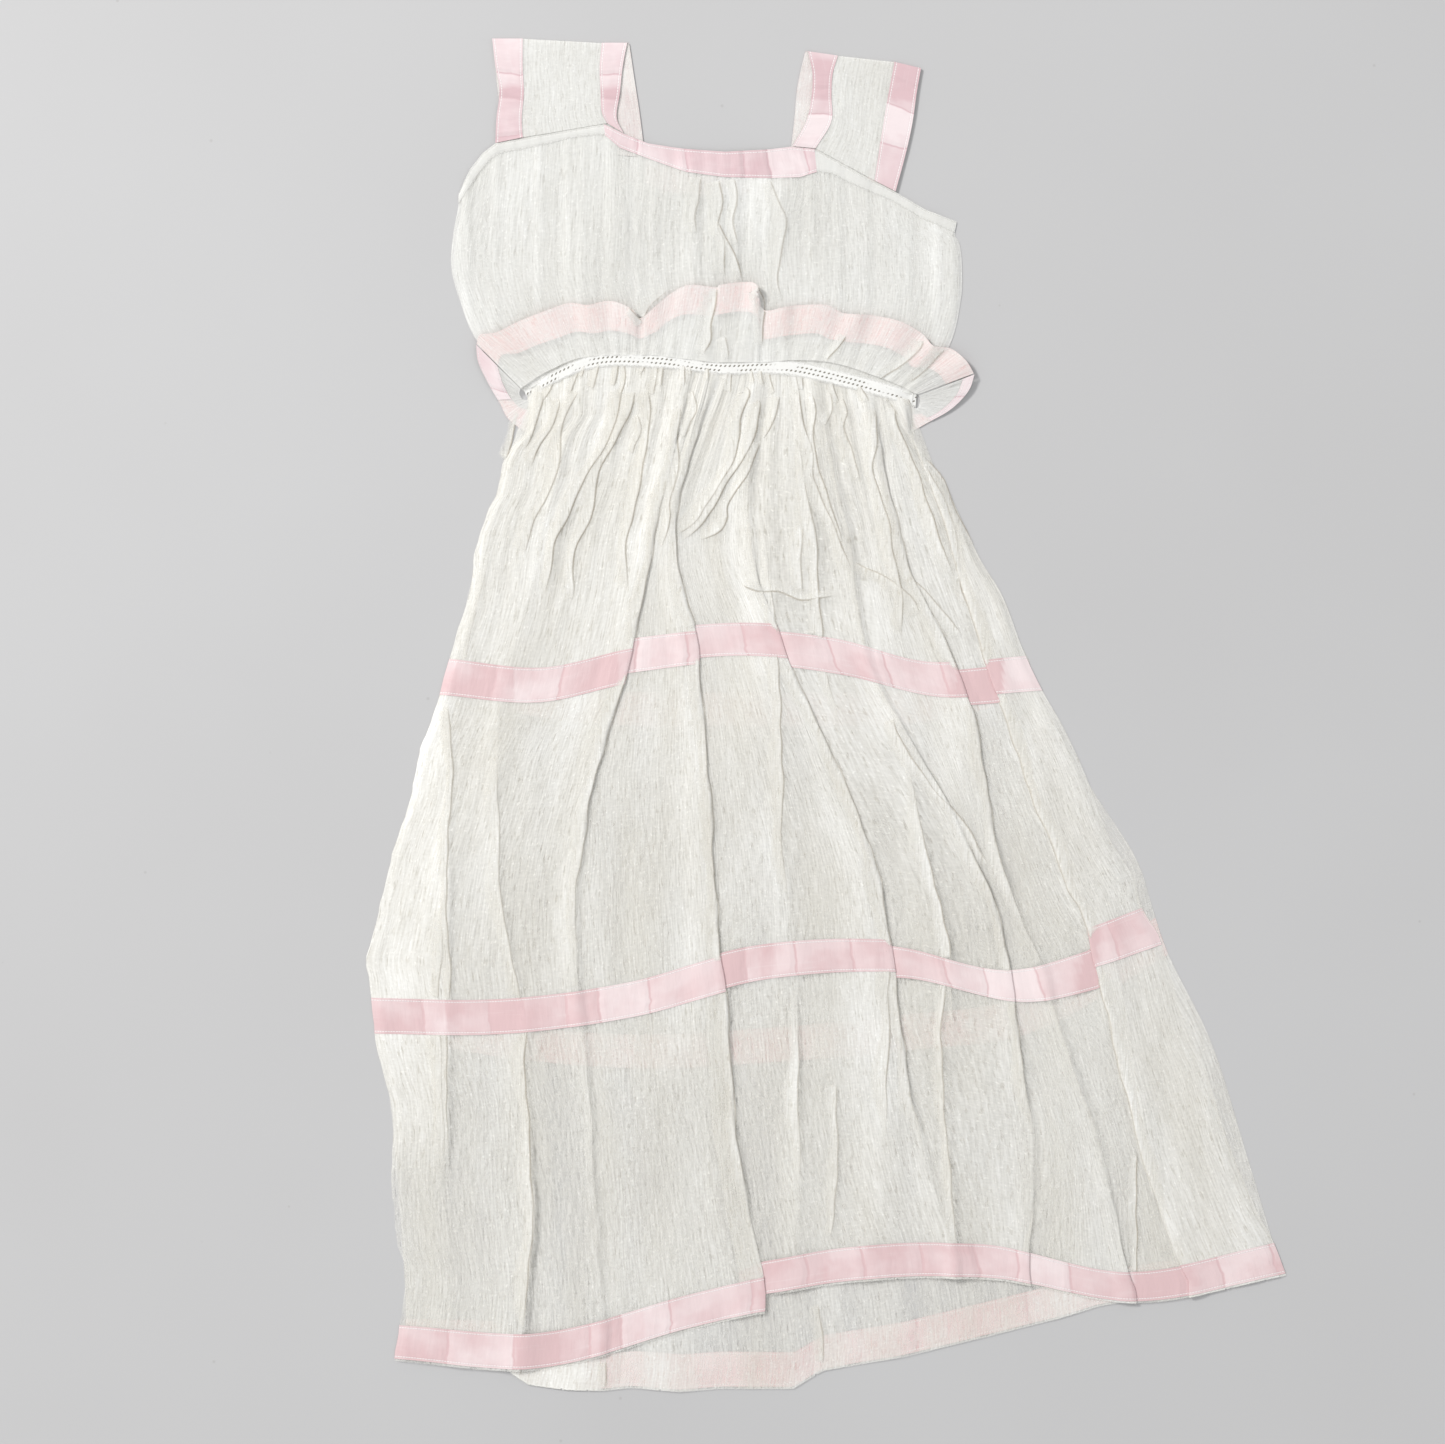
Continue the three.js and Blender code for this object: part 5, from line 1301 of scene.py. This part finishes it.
BODICE_BACK_TOP = named_rows(
    "name top seam parts gather",
    ("underarmLeft", (-345, 492), (-345, 482), 1, 0),
    ("armholeLeft", (-332, 518), (-325, 511), 1, 0),
    ("strapLeftOuter", (-310, 536), (-306, 526), 3, 0),
    ("strapLeftMiddle", (-240, 533), (-240, 521), 3, 0),
    ("strapLeftInner", (-171, 529), (-171, 505), 1, 0),
    ("neckLeft", (-152, 521), (-152, 497), 2, 0),
    ("neckMiddle", (-100, 515), (-100, 491), 2, 0),
    ("neckRight", (-48, 521), (-48, 497), 1, 0),
    ("strapRightInner", (-33, 531), (-33, 503), 3, 0),
    ("strapRightOuter", (65, 494), (61, 485), 1, 0),
    ("armholeRight", (96, 477), (91, 468), 1, 0),
    ("underarmRight", (123, 466), (121, 455), 0, 0),
)
BODICE_FRONT = named_rows(
    "left right y rest fade",
    (-353, 128, [456, 458, 460, 458, 455, 451, 446], 3.6, 1),
    (-355, 130, [426, 426, 426, 426, 426, 426, 426], 3.6, 0.8),
    (-347, 129, [394, 394, 394, 394, 394, 394, 394], 3.4, 0.4),
    (-330, 118, [354, 363, 367, 365, 363, 360, 350], 3.8, 0.4),
    (-286, 86, [306.4, 336.4, 338.4, 330.4, 332.4, 319.4, 302.4], 6.0, 0.6),
)
BODICE_BACK = named_rows(
    "left right y rest fade",
    (-350, 125, [452, 452, 452, 452, 452, 448, 443], 0.6, 0),
    (-352, 127, [423, 423, 423, 423, 423, 423, 423], 0.6, 0),
    (-344, 126, [392, 392, 392, 392, 392, 392, 392], 0.6, 0),
    (-327, 115, [357, 360, 362, 362, 360, 357, 353], 0.6, 0),
    (-284, 84, [312.4, 336.4, 338.4, 334.4, 332.4, 320.4, 307.4], 3.4, 0),
)
OVER_BACK, ON_RIBBON = 3.4, 1.9  # heights of the upper and lower layers at the neck, of the solids
print("bodice tables:", len(BODICE_FRONT_TOP), "and", len(BODICE_BACK_TOP))


# %% Bodice grid
def bodice_grid(top, sections, edge_rest, fine, step):
    """Grid of a bodice panel. fine: columns to each part of its top table. step: spacing of the rows."""
    starts = np.cumsum([0] + [row["parts"] for row in top[:-1]])
    place = np.linspace(0, starts[-1], starts[-1] * fine + 1)

    def along(key):
        sides = [np.interp(place, starts, [row[key][axis] for row in top]) for axis in (0, 1)]
        return np.stack(sides, axis=1)

    edge, seam = along("top"), along("seam")
    gather = np.interp(place, starts, [row["gather"] for row in top])
    wave = np.sin(math.pi * place / 2) ** 2 * uneven_share(np.floor(place / 2))
    wave = wave + 0.35 * np.sin(math.pi * place * 1.4) ** 2
    lines = [np.column_stack([edge, np.full(len(place), SLIM * edge_rest)]),
             np.column_stack([seam, np.full(len(place), SLIM * edge_rest)])]
    share = (edge[:, 0] - edge[0, 0]) / (edge[-1, 0] - edge[0, 0])
    for section in sections:
        x = mix(section["left"], section["right"], share)
        y = curve(np.arange(7) / 6, section["y"], share)
        lines.append(np.column_stack([x, y, SLIM * section["rest"] + 0.6 * gather * section["fade"] * wave]))
    lines = np.array(lines)
    knots = np.concatenate([[0], np.cumsum(np.linalg.norm(np.diff(lines, axis=0), axis=2).mean(axis=1))])
    down = rows_between(list(knots[:2]) + [knots[-1]], step)
    points = np.array([curve(knots, lines, at) for at in down])
    points[:3] = [mix(lines[0], lines[1], at / knots[1]) for at in down[:3]] if len(down) > 3 else points[:3]
    columns = {row["name"]: int(round(starts[k] * fine)) for k, row in enumerate(top)}
    edge_row = int(np.argmin(np.abs(down - knots[1])))
    return points, down, columns, edge_row


front, bodice_down, front_columns, front_edge_row = bodice_grid(
    BODICE_FRONT_TOP, BODICE_FRONT, OVER_BACK, 7, 4.5)
front[..., 2] += crease_shape(front[..., 0], front[..., 1], BODICE_CREASES)
unevenness = 0.3 * ripples(front[..., 0] / 16, front[..., 1] / 26, seed=12)
unevenness += 0.9 * ripples(front[..., 0] / 36, front[..., 1] / 45, seed=13)
unevenness += 0.4 * ripples(front[..., 0] / 5, front[..., 1] / 110, seed=23)
front[..., 2] += unevenness * ease((bodice_down[-1] - bodice_down) / 30)[:, None]
front[..., 2] = np.maximum(front[..., 2], 1.5)
side = np.minimum(front[..., 0] - front[:, :1, 0], front[:, -1:, 0] - front[..., 0])
front[..., 2] = 0.5 + (front[..., 2] - 0.5) * ease((side + 1) / 9)
back, back_bodice_down, back_columns, back_edge_row = bodice_grid(
    BODICE_BACK_TOP, BODICE_BACK, ON_RIBBON, 4, 9.0)
back[..., 2] += 0.15 * ripples(back[..., 0] / 22, back[..., 1] / 40, seed=14)
back[..., 2] = np.maximum(back[..., 2] + 0.25 * ripples(back[..., 0] / 7, back[..., 1] / 80, seed=15), 0.25)
long_streaks = 0.26 * ripples(front[..., 0] / 5, front[..., 1] / 110, seed=23)
long_streaks += 0.24 * ripples(front[..., 0] / 17, front[..., 1] / 60, seed=22)
bodice = cloth_piece("bodice", [gauze_grid(front, bodice_down, 2, None, long_streaks),
                                gauze_grid(back, back_bodice_down, 3)],
                     -CLOTH / 2, CLOTH / 2, bodice_gauze, "gauze", ["bodice_front", "bodice_back"])


# %% Bodice edgings
def edging(name, points, rows, first, last, material, slot, nodes, side):
    part = points[:rows + 1, first:last + 1]
    return on_cloth(name, [ribbon_grid(part)], material, slot, nodes, side)


at, last = front_columns, front.shape[1] - 1
bodice_edgings = [
    edging("armhole_tape_front_left", front, front_edge_row, 0, at["strapLeftInner"], white_binding,
           "binding", ["armhole_binding_front_left"], 1),
    edging("neck_ribbon_front", front, front_edge_row, at["strapLeftInner"], at["strapRightInner"],
           top_ribbon, "ribbon", ["ribbon_neck_front"], 1),
    edging("armhole_tape_front_right", front, front_edge_row, at["strapRightInner"], last, white_binding,
           "binding", ["armhole_binding_front_right"], 1),
]
at, last = back_columns, back.shape[1] - 1
bodice_edgings += [
    edging("armhole_tape_back_left", back, back_edge_row, 0, at["strapLeftOuter"], white_binding, "binding",
           ["armhole_binding_back_left"], -1),
    edging("neck_ribbon_back", back, back_edge_row, at["strapLeftInner"], at["strapRightInner"], top_ribbon,
           "ribbon", ["ribbon_neck_back"], -1),
    edging("armhole_tape_back_right", back, back_edge_row, at["strapRightOuter"], last, white_binding,
           "binding", ["armhole_binding_back_right"], -1),
]
strips = fold_strips(BODICE_CREASES[:-1], height_finder(bodice), None, 0.3)
bodice_folds = cloth_piece("bodice_folds", strips, -CLOTH / 2, CLOTH / 2, bodice_gauze, "gauze", [])

# %% [markdown]
# ## The waistband
# A narrow strip of insertion lace between bodice and skirt, front and back.

# %% Waistband
WAIST_FRONT = named_rows(
    "left right y",
    (-287, 87, [310.6, 341, 343, 335, 337, 324, 307]),
    (-283, 86, [301, 327, 328, 322, 321, 308, 291]),
)
WAIST_BACK = named_rows(
    "left right y",
    (-284, 84, [312, 336, 338, 334, 332, 320, 307]),
    (-280, 82, [303.4, 325.4, 325.4, 323.4, 320.4, 308.4, 293.4]),
)


def band_points(edges, height, columns):
    lines = []
    for edge in edges:
        share = np.linspace(0, 1, columns + 1)
        x, y = mix(edge["left"], edge["right"], share), curve(np.arange(7) / 6, edge["y"], share)
        lines.append(np.column_stack([x, y, np.full(columns + 1, height)]))
    return np.array([mix(lines[0], lines[1], share) for share in np.linspace(0, 1, 4)])


waist_front = band_points(WAIST_FRONT, SLIM * 7.6, 120)
from_end = np.minimum(np.arange(121), 120 - np.arange(121)) / 7
waist_front[..., 2] = mix(1.4, waist_front[..., 2], ease(from_end))
waist_front[..., 2] += 0.15 * ripples(waist_front[..., 0] / 5, waist_front[..., 1] / 9, seed=17)
waist_back = band_points(WAIST_BACK, SLIM * OVER_BACK, 60)
waistband = cloth_piece("waistband", [ribbon_grid(waist_front), ribbon_grid(waist_back)], -0.3, 0.3,
                        white_lace, "openwork", ["waistband_front", "waistband_back"])

# %% [markdown]
# ## The ruffle
# A strip of gauze, gathered into the upper seam of the waistband, with ribbon on its free edge. In front it
# was flipped up over the bodice, so the ribbon is underneath and glows through the gauze. At both sides it
# turns over and runs on behind the skirt.

# %% Ruffle tables
RUFFLE_FRONT = named_rows(
    "seam edge lift",
    ((-288.6, 309.4), (-330.5, 351.5), 0), ((-279, 316), (-327, 360), 1), ((-270, 322), (-312, 362), 2.4),
    ((-258, 328), (-290, 373), 0.4), ((-243, 335), (-264, 383), 2), ((-228, 339), (-243, 390), 0.2),
    ((-214, 340), (-225, 388), 2), ((-203, 341), (-208, 392), 0.4), ((-193, 341), (-195, 390), 2.2),
    ((-184, 341), (-182, 383), 3), ((-176, 341), (-175, 376), 0), ((-167, 341), (-162, 386), 1.4),
    ((-155, 340), (-145, 400), 0.4), ((-140, 338), (-128, 407), 2.4), ((-122, 336), (-103, 405), 0.4),
    ((-105, 334), (-100, 407), 2.6), ((-88, 334), (-77, 410), 0.6), ((-68, 334), (-64, 406), 3.4),
    ((-60, 334), (-59, 384), 0.2), ((-46, 335), (-39, 386), 2.4), ((-32, 336), (-26, 388), 0.2),
    ((-16, 336), (1, 388), 2), ((-1, 335), (16, 381), 0.3), ((14, 332), (32, 379), 3),
    ((28, 328), (48, 378), 0.3), ((42, 323), (72, 372), 2.6), ((56, 318), (92, 361), 0.3),
    ((66, 314), (103, 349), 3), ((75, 310), (119, 347), 0.4), ((82, 306), (133, 336), 2),
    ((88.6, 303.6), (141, 323.5), 0),
)
RUFFLE_BACK = named_rows(
    "seam edge z",
    ((-289, 309), (-331, 350.8), (8.6, 8.6)), ((-290, 306), (-329, 334), (6.2, 6.4)),
    ((-289.6, 303), (-319, 313), (3.8, 4.2)), ((-286, 299), (-309, 296), (1.9, 1.9)),
    ((-276, 300), (-298, 278), (1.9, 1.9)), ((-250, 310), (-268, 262), (1.9, 1.9)),
    ((-215, 320), (-226, 266), (1.9, 1.9)), ((-175, 325), (-182, 258), (1.9, 1.9)),
    ((-135, 326), (-138, 264), (1.9, 1.9)), ((-95, 324), (-95, 256), (1.9, 1.9)),
    ((-55, 322), (-51, 262), (1.9, 1.9)), ((-15, 318), (-8, 258), (1.9, 1.9)),
    ((25, 311), (35, 264), (1.9, 1.9)), ((58, 302), (73, 266), (1.9, 1.9)),
    ((84.5, 291), (101, 279), (1.9, 1.9)), ((89.4, 295), (121, 291), (3.8, 3.8)),
    ((90, 299), (136, 307), (6.2, 6.2)), ((89, 302.8), (141.6, 322.6), (8.6, 8.6)),
)
RUFFLE_HEIGHT = 8.6
EDGE_RIBBON = 28.0


# %% Ruffle
def ruffle_points(table, fine, rows, heights):
    """Grid of a ruffle from its free edge to its seam, the row where its ribbon ends and its mean depth."""
    place = np.linspace(0, len(table) - 1, (len(table) - 1) * fine + 1)
    knots = np.arange(len(table))
    seam, edge = (curve(knots, [row[key] for row in table], place) for key in ("seam", "edge"))
    width = np.linalg.norm(seam - edge, axis=1)
    ribbon = np.minimum(0.55, EDGE_RIBBON / width)
    grid = []
    for j in range(rows + 1):
        share = np.where(j <= rows // 2, ribbon * j / (rows // 2),
                         mix(ribbon, 1, (j - rows // 2) / (rows - rows // 2)))
        flat = mix(edge, seam, share[:, None])
        grid.append(np.column_stack([flat, heights(place, share)]))
    return np.array(grid), rows // 2, width.mean()


def front_heights(place, share):
    lift = curve(np.arange(len(RUFFLE_FRONT)), [row["lift"] for row in RUFFLE_FRONT], place)
    seam_gathers = 0.8 * np.sin(math.pi * place) ** 2
    return SLIM * RUFFLE_HEIGHT + mix(np.maximum(lift, 0), seam_gathers, share)


def back_heights(place, share):
    z = curve(np.arange(len(RUFFLE_BACK)), [row["z"] for row in RUFFLE_BACK], place)
    return np.maximum(SLIM * mix(z[:, 1], z[:, 0], share), 0.75)


ruffle_front, ribbon_row, width = ruffle_points(RUFFLE_FRONT, 8, 14, front_heights)
ruffle_front[..., 2] += 0.2 * ripples(ruffle_front[..., 0] / 7, ruffle_front[..., 1] / 14, seed=21)
ruffle_back, back_ribbon_row, back_width = ruffle_points(RUFFLE_BACK, 6, 10, back_heights)
ruffle_back = ruffle_back[::-1]
down_front = np.linspace(0, width, len(ruffle_front))
down_back = np.linspace(0, back_width, len(ruffle_back))
ruffle = cloth_piece("ruffle",
                     [gauze_grid(ruffle_front, down_front, 4), gauze_grid(ruffle_back, down_back, 5)],
                     -CLOTH / 2, CLOTH / 2, bodice_gauze, "gauze", ["ruffle_front", "ruffle_back"])
front_ribbon = ruffle_front[:ribbon_row + 1]
back_ribbon = ruffle_back[-back_ribbon_row - 1:]
turns = [ribbon_grid(part, zones=[(450, 1000, -0.6)])
         for part in (back_ribbon[:, :18], back_ribbon[3:, -19:])]
ruffle_ribbons = [
    on_cloth("ruffle_ribbon_front", [ribbon_grid(front_ribbon)], ruffle_ribbon, "ribbon",
             ["ribbon_ruffle_front"], -1),
    on_cloth("ruffle_ribbon_back", [ribbon_grid(back_ribbon[:, 17:-18])], ruffle_ribbon, "ribbon",
             ["ribbon_ruffle_back"], -1),
    on_cloth("ruffle_ribbon_turns", turns, top_ribbon, "ribbon", []),
]
strips = fold_strips(RUFFLE_CREASES, height_finder(ruffle), None, 0.4)
ruffle_folds = cloth_piece("ruffle_folds", strips, -CLOTH / 2, CLOTH / 2, bodice_gauze, "gauze", [])

# %% [markdown]
# ## The straps
# Each strap is a band of gauze between two ribbons. It comes up from the bodice's front, turns over the
# shoulder and goes down to the back. Its rows are known at nine places.

# %% Straps
STRAPS = {
    "left": {
        "front": [
            {"x": [-313, -287, -207, -191.4], "y": [542.6, 547.9, 561.4, 552]},
            {"x": [-312, -288, -212, -198], "y": [566, 566, 572, 567]},
            {"x": [-309, -286, -213, -195], "y": [592, 590, 590, 589]},
            {"x": [-313, -287, -214, -192], "y": [616, 614, 614, 616]},
            {"x": [-316, -287, -212, -188], "y": [641, 641, 637, 637]},
        ],
        "back": [
            {"x": [-316, -287, -212, -186], "y": [641, 641, 637, 637]},
            {"x": [-312, -286, -207, -181], "y": [603, 603, 603, 603]},
            {"x": [-309, -283, -202, -176], "y": [570, 570, 570, 570]},
            {"x": [-310, -284, -197, -171], "y": [536.5, 535.7, 531.3, 529.5]},
        ],
    },
    "right": {
        "front": [
            {"x": [-31, -9, 47, 67], "y": [539.5, 537.5, 507, 496.6]},
            {"x": [-18, 6, 52, 77], "y": [563, 563, 540, 534]},
            {"x": [-13, 6, 57, 83], "y": [586, 586, 571, 562]},
            {"x": [-12, 7, 62, 87], "y": [608, 607, 599, 590]},
            {"x": [-16, 12, 66, 91], "y": [629, 625, 619, 613]},
        ],
        "back": [
            {"x": [-19, 9, 64, 89], "y": [629, 625, 619, 613]},
            {"x": [-26, 0, 60, 86], "y": [598, 596, 588, 584]},
            {"x": [-29, -3, 53, 79], "y": [567, 562, 551, 546]},
            {"x": [-33, -7, 39, 65], "y": [531.5, 521.8, 504.4, 494.5]},
        ],
    },
}
STRAP_ZONES = {"left": [(38, 88, -0.8), (90, 150, 0.8)],
               "right": [(30, 58, -0.3), (60, 100, 0.5), (100, 135, -0.4)]}
HIGH, LOW = SLIM * OVER_BACK, SLIM * ON_RIBBON
FIRST_RIBBON, SECOND_RIBBON = slice(0, 6), slice(19, 25)  # columns of a strap's grid
FRONT_FROM = 22  # rows past this one are the strap's front, before it are its turn and its back
TURN = (HIGH - LOW) / 2


def strap_line(xs, ys, height):
    """One row across a strap: columns of its first ribbon, of the bare gauze and of its second ribbon."""
    share = np.concatenate([np.linspace(0, 1, 6), 1 + np.linspace(0, 1, 15)[1:],
                            2 + np.linspace(0, 1, 6)[1:]])
    x, y = (np.interp(share, range(4), values) for values in (xs, ys))
    return np.column_stack([x, y, np.full(len(share), height)])


def strap_grid(table):
    front = np.array([strap_line(row["x"], row["y"], HIGH) for row in table["front"]])
    back = np.array([strap_line(row["x"], row["y"], LOW) for row in table["back"]])
    fine = np.linspace(0, 4, 23)
    front = np.array([curve(range(5), front, at) for at in fine])
    back = np.array([curve(range(4), back, at) for at in np.linspace(0, 3, 14)])
    turn = []
    for angle in np.radians([25, 50, 75, 90, 105, 130, 155]):
        row = mix(front[-1], back[0], (1 - math.cos(angle)) / 2)
        row[:, 1] += TURN * math.sin(angle)
        row[:, 2] = (HIGH + LOW) / 2 + TURN * math.cos(angle)
        turn.append(row)
    return np.concatenate([front, turn, back])[::-1]


for number, (side, table) in enumerate(STRAPS.items()):
    points = strap_grid(table)
    wrinkle = 0.25 * ripples(points[..., 0] / 6, points[..., 1] / 12, seed=30 + number)
    upper = (np.arange(len(points)) > FRONT_FROM)[:, None]
    creases = crease_shape(points[..., 0], points[..., 1], BODICE_CREASES)
    points[..., 2] += np.where(upper, np.abs(wrinkle) + creases, 0)
    down = np.concatenate([[0], np.cumsum(np.linalg.norm(np.diff(points, axis=0), axis=2).mean(axis=1))])
    grid = gauze_grid(points, down, 6 + number)
    strap = cloth_piece(f"strap_band_{side}", [grid], -CLOTH / 2, CLOTH / 2, bodice_gauze,
                        "gauze", [f"strap_{side}"])
    names = ("outer", "inner") if side == "left" else ("inner", "outer")
    ribbons = [
        on_cloth(f"strap_ribbon_{side}_{place}",
                 [ribbon_grid(points[:, part], "columns", STRAP_ZONES[side], 1)], top_ribbon, "ribbon",
                 [f"ribbon_strap_{side}_{place}"])
        for place, part in zip(names, (FIRST_RIBBON, SECOND_RIBBON))
    ]
print("pieces made:", len(made_pieces))

# %% [markdown]
# ## Done
# The bounds of the finished pieces are read.

# %% Sizes
low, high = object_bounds()
